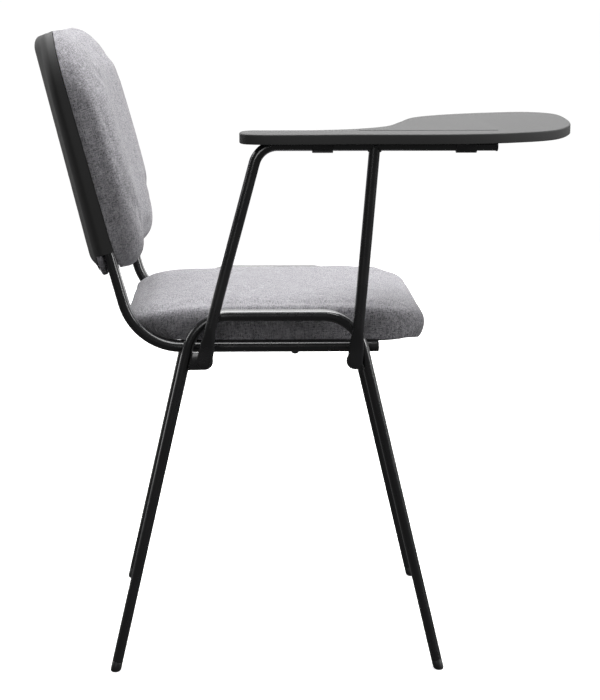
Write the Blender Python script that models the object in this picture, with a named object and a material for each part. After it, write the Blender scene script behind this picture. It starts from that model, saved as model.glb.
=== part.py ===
"""Stacking student chair with an upholstered seat and back and a lift-up writing tablet on its right arm.

Metres, +Z up. The chair faces -Y and the sitter's right is -X. The frame is flat-oval steel tube: two
arched leg frames stand outside two L-shaped rails, which carry the seat and run up into the back.
Everything is modelled about the chair's own middle, then moved as a whole so that the middle of its
floor box is the origin.
"""

import math

import bmesh
import bpy
from mathutils import Matrix, Vector

# Clearances.
GAP = 0.0003  # between faces that touch on the real chair
HOLE_CLEARANCE = 0.0003  # around a screw's shank
COVER_HOLE_CLEARANCE = 0.0006  # around a bolt in the thin seat cover
POCKET_CLEARANCE = 0.0006  # round a board in its cushion
BOLT_SHORTFALL = 0.002  # from a bolt's end to the face its nut is sunk in
NUT_RECESS = 0.001  # from a tee nut's barrel to the face it enters by
OVERCUT = 0.005  # how far a cutter runs past the face it opens

# Flat-oval frame tube.
OVAL_WIDTH = 0.030  # across the chair
OVAL_DEPTH = 0.0135  # in side view
OVAL_WALL = 0.0014

# Leg frames: one arch of tube on each side.
LEG_SPACING = 0.510  # between the middles of the two arches
FOOT_SPREAD = 0.4216  # rear foot to front foot, at the floor
ARCH_HEIGHT = 0.466  # middle of the tube's level top
ARCH_BEND = 0.054
REAR_LEG_SLOPE = 0.2286  # run over rise
FRONT_LEG_SLOPE = 0.2359
FOOT_HEIGHT = 0.014
FOOT_ROUND = 0.0042
PLUG_STEM = 0.0154  # of a rail plug
STEM_LENGTH = 0.022
STEM_CLEARANCE = 0.0004

# Rails: level under the seat, then bent up into the back.
RAIL_HEIGHT = 0.422  # middle of the level part
RAIL_FRONT = -0.132  # y of the open front end
RAIL_BEND = 0.078
UPRIGHT_SLOPE = 0.277
UPRIGHT_FOOT_Y = 0.1812  # y where the upright's middle line would meet the rail's
UPRIGHT_TOP_RISE = 0.330  # from the rail's middle to the upright's open top
PLUG_HEAD = 0.003
CROSSBAR_Y = (-0.060, 0.084)
STACK_PAD_Y = -0.024
STACK_PAD_RADIUS = 0.0047
STACK_PAD_STEM = 0.004
DOME = ((0.0, 1.0), (0.45, 1.0), (0.8, 0.8), (1.0, 0.4))  # shares of a stacking pad's height and radius
STACK_PAD_HEIGHT = 0.0036

# Seat.
SEAT_OVERHANG = 0.0105  # past the rails' middle lines
SEAT_FRONT = -0.197
SEAT_REAR = 0.1885
SEAT_THICKNESS = 0.0555
SEAT_CORNER = 0.055
SEAT_REAR_UNDERCUT = 0.057
SEAT_SIDE_ROUND = ((0.002, 0.006), (0.020, 0.022))  # in and up, at the lower edge and the upper
SEAT_FRONT_ROUND = ((0.014, 0.014), (0.046, 0.036))
SEAT_REAR_ROUND = (0.034, 0.022)
SEAT_CROWN = 0.004
SEAT_BOARD_OVERHANG = 0.0038  # past the rails' middle lines
SEAT_BOARD_Y = (-0.172, 0.128)
SEAT_BOARD_CORNER = 0.050
SEAT_BOARD_THICKNESS = 0.010
SEAT_COVER_THICKNESS = 0.0015
SEAT_COVER_OVERHANG = 0.003
SEAT_BOLT_Y = (-0.104, 0.088)
SEAT_BOLT_INSET = 0.0057  # inboard of the rail's middle

# Back. Its own axes are x, u up along the uprights and v forward from the uprights' front faces.
BACK_U_ORIGIN_RISE = 0.1630  # above the rail's middle, measured straight up
BACK_BOTTOM = -0.080
BACK_TOP = 0.247
BACK_CORNER = 0.072
BACK_LOW_CORNER = 0.050
BACK_OVERHANG = 0.0168  # past the rails' middle lines
BACK_PAD_DEPTH = 0.0378
BACK_SIDE_ROUND = (0.020, 0.020)  # in and back, over the front edges
BACK_TOP_ROUND = (0.056, 0.040)
BACK_BOTTOM_ROUND = (0.038, 0.036)
BACK_PAD_CROWN = 0.004
BACK_BOW = 0.023
BACK_BOARD_BOTTOM = -0.050
BACK_BOARD_TOP = 0.222
BACK_BOARD_OVERHANG = 0.0098  # past the rails' middle lines
BACK_BOARD_LOW_SHARE = 0.8  # of the board's upper corner radius, for its lower corners
BACK_BOARD_CORNER = 0.052
BACK_BOARD_THICKNESS = 0.009
BACK_BOLT_U = (0.025, 0.150)
SHELL_SECTION = ((0.0, 0.0), (0.45, 0.0), (0.75, 0.003), (0.93, 0.009), (1.0, 0.018))  # depth share, inset
SHELL_OVERHANG = 0.001  # past the pad
SHELL_CUT_MARGIN = 0.03  # of the cutter that opens the lower sides
SHELL_WALL = 0.0025
SHELL_ROOM = 0.0118  # behind the uprights, level with their bolts
SHELL_LOW_CORNER = 0.034
SHELL_TAPER = 0.0236  # depth lost for each metre up
SHELL_WING_BOTTOM = -0.043
SHELL_BOSS_RADIUS = 0.005
SHELL_BOSS_INSET = 0.0247  # from the uprights' inner sides
SHELL_BOSS_U = (0.165, -0.020)
SHELL_BOSS_CLEARANCE = 0.0012
BOW_CLEARANCE = 0.0008  # between bowed faces

# Machine screws and tee nuts in the boards.
BOLT_RADIUS = 0.003
BOLT_HEAD_RADIUS = 0.0052
BOLT_HEAD_HEIGHT = 0.003
TEE_BARREL_RADIUS = 0.0040
TEE_FLANGE_RADIUS = 0.0065
TEE_FLANGE_THICKNESS = 0.0012

# Tablet arm, of round tube.
ARM_STANDOFF = 0.001  # of the round arm tube from the leg's outer face
ARM_RADIUS = 0.0072
ARM_WALL = 0.0012
ARM_RUN_HEIGHT = 0.6838
ARM_RUN_FRONT = -0.2747
ARM_BEND = 0.030
ARM_LOWER_BEND = 0.100
ARM_FOOT = (0.0925, 0.4085)  # y, z of the rear bolt
ARM_KNEE = (0.0847, 0.452)
ARM_CORNER_Y = 0.0225
POST_FOOT = (-0.0995, 0.4085)
POST_HEAD_Y = -0.1232
ARM_END_WIDTH = 0.0196
ARM_END_THICKNESS = 0.008
ARM_HOLE_DEPTH = 0.006  # of the threaded hole in a flattened end
ARM_BOLT_DEPTH = 0.0056
ARM_PLUG_STEM = 0.014
ARM_PLUG_HEAD = 0.003
ARM_PLUG_LIP = 0.0006
ARM_PLUG_CHAMFER = 0.0009
ARM_END_STRAIGHT = 0.012
FLAT_END_ROUND = ((25, 0.833), (50, 0.917), (75, 1.0))  # degrees round the end, share of its thickness
ARM_END_BLEND = 0.034
COPE_CLEARANCE = 0.0006
LUG_THICKNESS = 0.004
LUG_MARGIN = 0.0012
LUG_HALF_HEIGHT = 0.0115

# Writing tablet, drawn level about its hinge and then tilted.
TABLET_TILT = 2.6  # degrees, inboard edge up
TABLET_OUTBOARD = 0.0265  # from the hinge axis to the outboard edge
TABLET_TOP = 0.0163  # above the hinge axis
TABLET_DEPTH = 0.0128
TABLET_PLATE = 0.0035
TABLET_WALL = 0.003
TABLET_EDGE_ROUND = 0.0016
GROOVE_OFFSET = 0.049  # from the outboard edge
GROOVE_WIDTH = 0.005
GROOVE_DEPTH = 0.0014
GROOVE_Y = (-0.281, -0.103)
RIBS = ((0.200, 0.205), (0.250, 0.240), (0.300, 0.262), (0.345, 0.255))  # forward distance, inboard end
RIB_START = 0.034
RIB_THICKNESS = 0.002
RIB_HEIGHT = 0.005
CLIP_Y = (-0.0573, -0.2380)
CLIP_LENGTH = 0.0262
CLIP_CLEARANCE = 0.0005
CLIP_WALL = 0.0020
CLIP_FLANGE_REACH = 0.0168
CLIP_FLANGE = (0.0045, 0.0075)  # low and high faces above the hinge axis
CLIP_SCREW_X = 0.0134
CLIP_SCREW_RADIUS = 0.0014
CLIP_SCREW_HEAD = 0.0030
CLIP_SCREW_HEAD_HEIGHT = 0.0018
BOSS_RADIUS = 0.0038
STOP_Y = -0.170
STOP_LENGTH = 0.036
STOP_REACH = 0.0215
STOP_PAD_LENGTH = 0.028
STOP_PAD_REACH = 0.008  # from the tab's tip to the pad's near side
STOP_PAD_MARGIN = 0.001  # from the tab's tip to its far side
STOP_THICKNESS = 0.003

# Tablet outline: forward distance from the chair's middle, then distance in from the outboard edge.
TABLET_OUTLINE = (
    (-0.034, 0.0),
    (0.100, 0.0),
    (0.225, 0.001),
    (0.296, 0.017),
    (0.350, 0.049),
    (0.380, 0.115),
    (0.388, 0.200),
    (0.378, 0.279),
    (0.345, 0.302),
    (0.290, 0.292),
    (0.225, 0.262),
    (0.185, 0.224),
    (0.162, 0.160),
    (0.141, 0.105),
    (0.103, 0.072),
    (0.050, 0.055),
    (0.000, 0.053),
    (-0.034, 0.052),
    (-0.045, 0.041),
    (-0.045, 0.011),
)
OUTLINE_STEPS = 3

# Mesh density.
RING_POINTS = 16
ROUND_POINTS = 14
BEND_STEPS = 8
CORNER_STEPS = 6
BACK_ACROSS_STEPS = 14
FLAT_BLEND_SHARES = (0.25, 0.5, 0.75, 1.0)
RING_SHARES = (0.86, 0.66, 0.45, 0.22)
SEAT_LEVELS = (0.0, 0.004, 0.010, 0.018, 0.028, 0.037, 0.045, 0.051, 0.0545)
BACK_LEVELS = (0.0, 0.006, 0.014, 0.022, 0.029, 0.034, 0.0375)
SCREW_POINTS = 12

# Values worked out from the sizes above.
LEG_X = LEG_SPACING / 2
RAIL_X = LEG_X - OVAL_WIDTH - GAP
LEG_OUTER_X = LEG_X + OVAL_WIDTH / 2
SEAT_BOLT_X = RAIL_X - SEAT_BOLT_INSET
RAIL_TOP = RAIL_HEIGHT + OVAL_DEPTH / 2
RAIL_UNDERSIDE = RAIL_HEIGHT - OVAL_DEPTH / 2
SEAT_COVER_BASE = RAIL_TOP + GAP
SEAT_BOARD_BASE = SEAT_COVER_BASE + SEAT_COVER_THICKNESS + GAP
SEAT_BASE = SEAT_BOARD_BASE
SEAT_TOP = SEAT_BASE + SEAT_THICKNESS
UPRIGHT_LEAN = math.atan(UPRIGHT_SLOPE)
ARM_X = LEG_OUTER_X + GAP + ARM_RADIUS + ARM_STANDOFF
ARM_END_X = LEG_OUTER_X + GAP + ARM_END_THICKNESS / 2
BACK_LAND = RAIL_X - OVAL_WIDTH / 2
SEAT_HALF_WIDTH = RAIL_X + SEAT_OVERHANG
SEAT_BOARD_HALF_WIDTH = RAIL_X + SEAT_BOARD_OVERHANG
BACK_HALF_WIDTH = RAIL_X + BACK_OVERHANG
BACK_BOARD_HALF_WIDTH = RAIL_X + BACK_BOARD_OVERHANG
SHELL_DEPTH = OVAL_DEPTH + SHELL_ROOM
SHELL_BOSSES = [(side * (BACK_LAND - SHELL_BOSS_INSET), u) for u in SHELL_BOSS_U for side in (-1, 1)]
BACK_MIDDLE = (BACK_TOP + BACK_BOTTOM) / 2
SHELL_HALF_WIDTH = BACK_HALF_WIDTH + SHELL_OVERHANG
SHELL_TOP = BACK_TOP + SHELL_OVERHANG

SIDES = (("right", -1.0), ("left", 1.0))
STEEL_BLACK = ("frame_black_steel", (0.020, 0.020, 0.022), 0.38, 0.35)
PLASTIC_BLACK = ("black_plastic", (0.022, 0.022, 0.023), 0.50, 0.0)
SHELL_PLASTIC = ("shell_plastic", (0.026, 0.026, 0.028), 0.46, 0.0)
TABLET_PLASTIC = ("tablet_plastic", (0.030, 0.030, 0.032), 0.34, 0.0)
GREY_FABRIC = ("grey_fabric", (0.27, 0.265, 0.28), 0.95, 0.0)
PLYWOOD = ("plywood", (0.60, 0.44, 0.27), 0.65, 0.0)
ZINC = ("zinc_steel", (0.62, 0.63, 0.66), 0.32, 1.0)


def clear_scene():
    for obj in list(bpy.data.objects):
        bpy.data.objects.remove(obj, do_unlink=True)


def finish_of(recipe):
    """The material for one finish, made the first time it is asked for."""
    name, colour, roughness, metallic = recipe
    made = bpy.data.materials.get(name)
    if made:
        return made
    made = bpy.data.materials.new(name)
    made.use_nodes = True
    shader = made.node_tree.nodes["Principled BSDF"]
    shader.inputs["Base Color"].default_value = (*colour, 1.0)
    shader.inputs["Roughness"].default_value = roughness
    shader.inputs["Metallic"].default_value = metallic
    made.diffuse_color = (*colour, 1.0)
    return made


def add_piece(name, shape, recipe, parent=None):
    """Turns a bmesh into a named object with smooth round faces and one finish."""
    bmesh.ops.recalc_face_normals(shape, faces=shape.faces)
    if shape.calc_volume(signed=True) < 0:
        bmesh.ops.reverse_faces(shape, faces=shape.faces)
    mesh = bpy.data.meshes.new(name)
    shape.to_mesh(mesh)
    shape.free()
    mesh.shade_smooth()
    mesh.set_sharp_from_angle(angle=math.radians(35))
    mesh.materials.append(finish_of(recipe))
    piece = bpy.data.objects.new(name, mesh)
    bpy.context.scene.collection.objects.link(piece)
    piece.parent = parent
    return piece


def add_cutter(shape, parent=None):
    cutter = add_piece("cutter", shape, STEEL_BLACK, parent)
    cutter.hide_render = True
    cutter.display_type = "WIRE"
    return cutter


def combine(piece, shape, operation, parent=None):
    modifier = piece.modifiers.new(operation.lower(), "BOOLEAN")
    modifier.operation = operation
    modifier.solver = "EXACT"
    modifier.object = add_cutter(shape, parent)


def cut(piece, shape, parent=None):
    combine(piece, shape, "DIFFERENCE", parent)


def join(piece, shape, parent=None):
    combine(piece, shape, "UNION", parent)


def loft(loops):
    """One closed shape through equal loops of points, capped at both ends. A one-point loop is a pole."""
    shape = bmesh.new()
    rows = [[shape.verts.new(point) for point in loop] for loop in loops]
    for low, high in zip(rows, rows[1:]):
        bridge(shape, low, high)
    for row in (rows[0], rows[-1]):
        if len(row) > 2:
            shape.faces.new(row)
    return shape


def bridge(shape, low, high):
    if len(low) == 1:
        low, high = high, low
    count = len(low)
    for i in range(count):
        j = (i + 1) % count
        if len(high) == 1:
            shape.faces.new((low[i], low[j], high[0]))
        else:
            shape.faces.new((low[i], low[j], high[j], high[i]))


def ring_of_loops(loops):
    """One closed shape through equal loops of points, the last joined to the first."""
    shape = bmesh.new()
    rows = [[shape.verts.new(point) for point in loop] for loop in loops]
    for low, high in zip(rows, rows[1:] + rows[:1]):
        bridge(shape, low, high)
    return shape


def circles(start, axis, profile, points):
    """Circles about an axis, from (distance along it, radius) pairs."""
    start = Vector(start)
    axis = Vector(axis).normalized()
    side = axis.orthogonal().normalized()
    across = axis.cross(side)
    turns = [math.tau * i / points for i in range(points)]
    loops = []
    for along, radius in profile:
        centre = start + axis * along
        loops.append([centre + radius * (side * math.cos(a) + across * math.sin(a)) for a in turns])
    return loops


def oval_ring(centre, side, across, half_side, half_across):
    """A ring of points: a circle where the two halves are equal, and straight-sided where they differ."""
    radius = min(half_side, half_across)
    point_radius = radius / math.cos(math.pi / RING_POINTS)
    ring = []
    for i in range(RING_POINTS):
        angle = (i + 0.5) * math.tau / RING_POINTS
        along = math.copysign(half_side - radius, math.cos(angle)) + point_radius * math.cos(angle)
        out = math.copysign(half_across - radius, math.sin(angle)) + point_radius * math.sin(angle)
        ring.append(centre + side * along + across * out)
    return ring


def station(centre, tangent, half_side, half_across):
    """A ring square to a path that stays in a plane of constant x."""
    side = Vector((1.0, 0.0, 0.0))
    across = side.cross(tangent).normalized()
    return (centre, side, across, half_side, half_across)


def bent_path(corners, radii):
    """(point, tangent) pairs along straight runs joined by round bends, for a path given by its corners."""
    points = [Vector(corner) for corner in corners]
    path = [(points[0], (points[1] - points[0]).normalized())]
    for i, radius in enumerate(radii, start=1):
        path += bend(points[i - 1], points[i], points[i + 1], radius)
    path.append((points[-1], (points[-1] - points[-2]).normalized()))
    return path


def bend(before, corner, after, radius):
    into = (corner - before).normalized()
    out = (after - corner).normalized()
    turn = into.angle(out)
    reach = radius * math.tan(turn / 2)
    towards_centre = (out - into).normalized()
    centre = corner + towards_centre * (radius / math.cos(turn / 2))
    start = corner - into * reach - centre
    axis = into.cross(out).normalized()
    steps = max(2, round(BEND_STEPS * turn / math.radians(75)))
    found = []
    for i in range(steps + 1):
        turned = Matrix.Rotation(turn * i / steps, 3, axis)
        found.append((centre + turned @ start, turned @ into))
    return found


def open_tube(path, half_side, half_across, wall):
    """A hollow tube, open at both ends."""
    outer = [oval_ring(*station(p, t, half_side, half_across)) for p, t in path]
    inner = [oval_ring(*station(p, t, half_side - wall, half_across - wall)) for p, t in path]
    return ring_of_loops(outer + inner[::-1])


def cylinder(start, end, radius, points=ROUND_POINTS):
    axis = Vector(end) - Vector(start)
    return turned(start, axis, [(0.0, radius), (axis.length, radius)], points)


def turned(start, axis, profile, points=ROUND_POINTS):
    """A round solid from (distance along the axis, radius) pairs."""
    return loft(circles(start, axis, profile, points))


def block(low, high):
    shape = bmesh.new()
    size = Vector(high) - Vector(low)
    centre = (Vector(high) + Vector(low)) / 2
    bmesh.ops.create_cube(shape, size=1.0, matrix=Matrix.Translation(centre) @ Matrix.Diagonal((*size, 1.0)))
    return shape


def rounded_rectangle(half_x, low, high, low_radius, high_radius, across=10, up=4):
    """(x, y) points round a rectangle with round corners, with the straight sides divided evenly."""
    corners = (
        (half_x - low_radius, low + low_radius, low_radius, -90),
        (half_x - high_radius, high - high_radius, high_radius, 0),
        (high_radius - half_x, high - high_radius, high_radius, 90),
        (low_radius - half_x, low + low_radius, low_radius, 180),
    )
    arcs = []
    for x, y, radius, start in corners:
        arc = []
        for i in range(CORNER_STEPS + 1):
            angle = math.radians(start + 90 * i / CORNER_STEPS)
            arc.append((x + radius * math.cos(angle), y + radius * math.sin(angle)))
        arcs.append(arc)
    loop = []
    for i, arc in enumerate(arcs):
        loop += arc
        ahead = arcs[(i + 1) % 4][0]
        divisions = up if i % 2 == 0 else across
        for step in range(1, divisions):
            share = step / divisions
            loop.append(tuple(a + share * (b - a) for a, b in zip(arc[-1], ahead)))
    return loop


def shrunk(loop, share, middle):
    return [(share * x, middle + share * (y - middle)) for x, y in loop]


def round_inset(height, radius_in, radius_up):
    """How far an elliptical edge has drawn in where it is this far from the face it rounds into."""
    if height >= radius_up:
        return 0.0
    share = 1 - max(height, 0.0) / radius_up
    return radius_in * (1 - math.sqrt(1 - share * share))


def smooth_outline(points, steps):
    """A closed curve through the points, by centripetal Catmull-Rom spans."""
    count = len(points)
    outline = []
    for i in range(count):
        p = [Vector(points[(i + k) % count]) for k in (-1, 0, 1, 2)]
        knots = [0.0]
        for a, b in zip(p, p[1:]):
            knots.append(knots[-1] + math.sqrt((b - a).length))
        for step in range(steps):
            t = knots[1] + (knots[2] - knots[1]) * step / steps
            outline.append(catmull_rom(p, knots, t))
    return outline


def catmull_rom(p, knots, t):
    rows = list(p)
    for level in (1, 2):
        spread = [(knots[i], knots[i + level]) for i in range(len(rows) - 1)]
        rows = [a.lerp(b, (t - k0) / (k1 - k0)) for (a, b), (k0, k1) in zip(zip(rows, rows[1:]), spread)]
    return rows[0].lerp(rows[1], (t - knots[1]) / (knots[2] - knots[1]))


def inset_outline(outline, distance):
    """The outline moved inwards, for one that runs anticlockwise."""
    count = len(outline)
    moved = []
    for i in range(count):
        along = (outline[(i + 1) % count] - outline[i - 1]).normalized()
        moved.append(outline[i] + Vector((-along.y, along.x)) * distance)
    return moved


def leg_line(z, front):
    """y of a leg's middle line at a height."""
    half = FOOT_SPREAD / 2
    return -half + FRONT_LEG_SLOPE * z if front else half - REAR_LEG_SLOPE * z


def leg_corners(x):
    return [
        Vector((x, leg_line(FOOT_HEIGHT, False), FOOT_HEIGHT)),
        Vector((x, leg_line(ARCH_HEIGHT, False), ARCH_HEIGHT)),
        Vector((x, leg_line(ARCH_HEIGHT, True), ARCH_HEIGHT)),
        Vector((x, leg_line(FOOT_HEIGHT, True), FOOT_HEIGHT)),
    ]


def make_leg_frame(side_name, side):
    path = bent_path(leg_corners(side * LEG_X), (ARCH_BEND, ARCH_BEND))
    shape = open_tube(path, OVAL_WIDTH / 2, OVAL_DEPTH / 2, OVAL_WALL)
    add_piece(f"leg_frame_{side_name}", shape, STEEL_BLACK)


def make_foot(name, x, front):
    """A plastic foot: a head as thick as the tube, flat on the floor, and a stem up inside the tube."""
    slope = -FRONT_LEG_SLOPE if front else REAR_LEG_SLOPE
    up = Vector((0.0, -slope, 1.0)).normalized()
    end = Vector((x, leg_line(FOOT_HEIGHT, front), FOOT_HEIGHT)) - up * GAP
    side = Vector((1.0, 0.0, 0.0))
    level = Vector((0.0, -1.0, 0.0))
    square = side.cross(up).normalized()
    stretch = 1 / up.z
    half_side = OVAL_WIDTH / 2
    half_across = OVAL_DEPTH / 2
    stem = OVAL_WALL + STEM_CLEARANCE
    loops = []
    for degrees in (0, 45, 90):
        inset = FOOT_ROUND * (1 - math.sin(math.radians(degrees)))
        z = FOOT_ROUND * (1 - math.cos(math.radians(degrees)))
        centre = Vector((x, leg_line(z, front), z))
        loops.append(oval_ring(centre, side, level, half_side - inset, (half_across - inset) * stretch))
    loops += [
        oval_ring(end, side, square, half_side, half_across),
        oval_ring(end, side, square, half_side - stem, half_across - stem),
        oval_ring(end + up * STEM_LENGTH, side, square, half_side - stem, half_across - stem),
    ]
    add_piece(name, loft(loops), PLASTIC_BLACK)


def rail_corners(x):
    top = RAIL_HEIGHT + UPRIGHT_TOP_RISE
    return [
        Vector((x, RAIL_FRONT + PLUG_HEAD, RAIL_HEIGHT)),
        Vector((x, UPRIGHT_FOOT_Y, RAIL_HEIGHT)),
        Vector((x, UPRIGHT_FOOT_Y + UPRIGHT_SLOPE * UPRIGHT_TOP_RISE, top)),
    ]


def make_rail(side_name, side):
    """The L-shaped tube under one side of the seat and up behind the back, drilled for its bolts."""
    x = side * RAIL_X
    path = bent_path(rail_corners(x), (RAIL_BEND,))
    tube = open_tube(path, OVAL_WIDTH / 2, OVAL_DEPTH / 2, OVAL_WALL)
    rail = add_piece(f"back_rail_{side_name}", tube, STEEL_BLACK)
    below = RAIL_UNDERSIDE - OVERCUT
    hole = BOLT_RADIUS + HOLE_CLEARANCE
    bolt_x = side * SEAT_BOLT_X
    for y in SEAT_BOLT_Y:
        cut(rail, cylinder((bolt_x, y, below), (bolt_x, y, RAIL_TOP + OVERCUT), hole))
    cut(rail, cylinder((x, STACK_PAD_Y, below), (x, STACK_PAD_Y, RAIL_HEIGHT), hole))
    for u in BACK_BOLT_U:
        rear = back_point(x, u, -OVAL_DEPTH - OVERCUT, flat=True)
        cut(rail, cylinder(rear, back_point(x, u, OVERCUT, flat=True), hole))


def make_rail_plug(side_name, side):
    x = side * RAIL_X
    back = Vector((0.0, 1.0, 0.0))
    front = Vector((x, RAIL_FRONT, RAIL_HEIGHT))
    half_side = OVAL_WIDTH / 2
    half_across = OVAL_DEPTH / 2
    stem = OVAL_WALL + STEM_CLEARANCE
    chamfer = PLUG_HEAD / 3
    shoulder = front + back * (PLUG_HEAD - GAP)
    loops = [
        oval_ring(*station(front, back, half_side - chamfer, half_across - chamfer)),
        oval_ring(*station(front + back * chamfer, back, half_side, half_across)),
        oval_ring(*station(shoulder, back, half_side, half_across)),
        oval_ring(*station(shoulder, back, half_side - stem, half_across - stem)),
        oval_ring(*station(shoulder + back * PLUG_STEM, back, half_side - stem, half_across - stem)),
    ]
    add_piece(f"rail_plug_{side_name}", loft(loops), PLASTIC_BLACK)


def make_crossbar(name, y):
    """A flat-oval tube lying between the two rails."""
    reach = RAIL_X - OVAL_WIDTH / 2 - GAP
    ends = (Vector((-reach, y, RAIL_HEIGHT)), Vector((reach, y, RAIL_HEIGHT)))
    side = Vector((0.0, 1.0, 0.0))
    across = Vector((0.0, 0.0, 1.0))
    outer = [oval_ring(end, side, across, OVAL_WIDTH / 2, OVAL_DEPTH / 2) for end in ends]
    bore = (OVAL_WIDTH / 2 - OVAL_WALL, OVAL_DEPTH / 2 - OVAL_WALL)
    inner = [oval_ring(end, side, across, *bore) for end in ends]
    add_piece(name, ring_of_loops(outer + inner[::-1]), STEEL_BLACK)


def make_stack_pad(side_name, side):
    """A domed plastic button pushed into a hole under the rail."""
    top = (side * RAIL_X, STACK_PAD_Y, RAIL_UNDERSIDE - GAP)
    stem = BOLT_RADIUS - HOLE_CLEARANCE
    radius = STACK_PAD_RADIUS
    height = STACK_PAD_HEIGHT
    profile = [(-STACK_PAD_STEM, stem), (0.0, stem)]
    profile += [(height * up, radius * out) for up, out in DOME]
    add_piece(f"stack_pad_{side_name}", turned(top, (0, 0, -1), profile), PLASTIC_BLACK)


def seat_loop(z):
    """The seat pad's outline at a height, rounded over at the top and far undercut at the rear."""
    below = z - SEAT_BASE
    above = SEAT_TOP - z
    side = round_inset(below, *SEAT_SIDE_ROUND[0]) + round_inset(above, *SEAT_SIDE_ROUND[1])
    front = round_inset(below, *SEAT_FRONT_ROUND[0]) + round_inset(above, *SEAT_FRONT_ROUND[1])
    rear = round_inset(below, SEAT_REAR_UNDERCUT, SEAT_THICKNESS) + round_inset(above, *SEAT_REAR_ROUND)
    half = SEAT_HALF_WIDTH - side
    return rounded_rectangle(half, SEAT_FRONT + front, SEAT_REAR - rear, SEAT_CORNER, SEAT_CORNER)


def seat_board_loop(margin=0.0):
    low, high = SEAT_BOARD_Y
    radius = SEAT_BOARD_CORNER + margin
    return rounded_rectangle(SEAT_BOARD_HALF_WIDTH + margin, low - margin, high + margin, radius, radius)


def at_height(loop, z):
    return [Vector((x, y, z)) for x, y in loop]


def make_seat_pad():
    """Foam and fabric as one body, with a pocket below for the seat board."""
    pocket = seat_board_loop(POCKET_CLEARANCE)
    pocket_top = SEAT_BOARD_BASE + SEAT_BOARD_THICKNESS + GAP
    loops = [at_height(pocket, pocket_top), at_height(pocket, SEAT_BASE)]
    levels = [SEAT_BASE + level for level in SEAT_LEVELS] + [SEAT_TOP]
    loops += [at_height(seat_loop(z), z) for z in levels]
    middle = (SEAT_FRONT + SEAT_REAR) / 2
    rim = seat_loop(SEAT_TOP)
    for share in (0.8, 0.5):
        loops.append(at_height(shrunk(rim, share, middle), SEAT_TOP + SEAT_CROWN * (1 - share * share)))
    loops.append([Vector((0.0, middle, SEAT_TOP + SEAT_CROWN))])
    add_piece("seat_cushion", loft(loops), GREY_FABRIC)


def seat_bolt_points():
    ends = zip(("front", "rear"), SEAT_BOLT_Y)
    return [(name, end, side * SEAT_BOLT_X, y) for end, y in ends for name, side in SIDES]


def tee_nut_hole(thickness):
    """The stepped hole for a tee nut, as a profile from one overcut below a board of this thickness."""
    barrel = TEE_BARREL_RADIUS + HOLE_CLEARANCE
    flange = TEE_FLANGE_RADIUS + HOLE_CLEARANCE
    sink = OVERCUT + thickness - TEE_FLANGE_THICKNESS - GAP
    return [(0, barrel), (sink, barrel), (sink, flange), (sink + OVERCUT, flange)]


def make_seat_board():
    top = SEAT_BOARD_BASE + SEAT_BOARD_THICKNESS
    loops = [at_height(seat_board_loop(), z) for z in (SEAT_BOARD_BASE, top)]
    board = add_piece("seat_board", loft(loops), PLYWOOD)
    for _, _, x, y in seat_bolt_points():
        base = (x, y, SEAT_BOARD_BASE - OVERCUT)
        cut(board, turned(base, (0, 0, 1), tee_nut_hole(SEAT_BOARD_THICKNESS)))


def make_seat_cover():
    """The thin black cover under the seat board."""
    top = SEAT_COVER_BASE + SEAT_COVER_THICKNESS
    loops = [at_height(seat_board_loop(SEAT_COVER_OVERHANG), z) for z in (SEAT_COVER_BASE, top)]
    cover = add_piece("seat_under_cover", loft(loops), PLASTIC_BLACK)
    hole = BOLT_RADIUS + COVER_HOLE_CLEARANCE
    for _, _, x, y in seat_bolt_points():
        cut(cover, cylinder((x, y, SEAT_COVER_BASE - OVERCUT), (x, y, top + OVERCUT), hole))


def bolt_shape(head_seat, direction, length):
    """A pan-head machine screw: its head below the seat point, its shank along the direction."""
    profile = [
        (-BOLT_HEAD_HEIGHT - GAP, BOLT_HEAD_RADIUS * 0.72),
        (-BOLT_HEAD_HEIGHT * 0.6 - GAP, BOLT_HEAD_RADIUS),
        (-GAP, BOLT_HEAD_RADIUS),
        (-GAP, BOLT_RADIUS),
        (length, BOLT_RADIUS),
    ]
    return turned(head_seat, direction, profile)


def tee_nut(name, base, direction, depth):
    """A tee nut: its barrel in the board, its flange sunk in the far face."""
    bore = BOLT_RADIUS + HOLE_CLEARANCE
    barrel_end = depth - TEE_FLANGE_THICKNESS
    profile = [
        (NUT_RECESS, bore),
        (NUT_RECESS, TEE_BARREL_RADIUS),
        (barrel_end, TEE_BARREL_RADIUS),
        (barrel_end, TEE_FLANGE_RADIUS),
        (depth, TEE_FLANGE_RADIUS),
        (depth, bore),
    ]
    add_piece(name, ring_of_loops(circles(base, direction, profile, ROUND_POINTS)), ZINC)


def make_seat_fasteners():
    reach = SEAT_BOARD_BASE + SEAT_BOARD_THICKNESS - RAIL_UNDERSIDE - BOLT_SHORTFALL
    for side_name, end, x, y in seat_bolt_points():
        bolt = bolt_shape((x, y, RAIL_UNDERSIDE), (0, 0, 1), reach)
        add_piece(f"seat_bolt_{end}_{side_name}", bolt, ZINC)
        tee_nut(f"seat_tee_nut_{end}_{side_name}", (x, y, SEAT_BOARD_BASE), (0, 0, 1), SEAT_BOARD_THICKNESS)


def back_bow(x):
    """How far the back curves away behind the sitter: none at the uprights, most in the middle."""
    share = min(abs(x) / BACK_LAND, 1.0)
    return -BACK_BOW * math.cos(math.pi / 2 * share) ** 2


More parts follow.
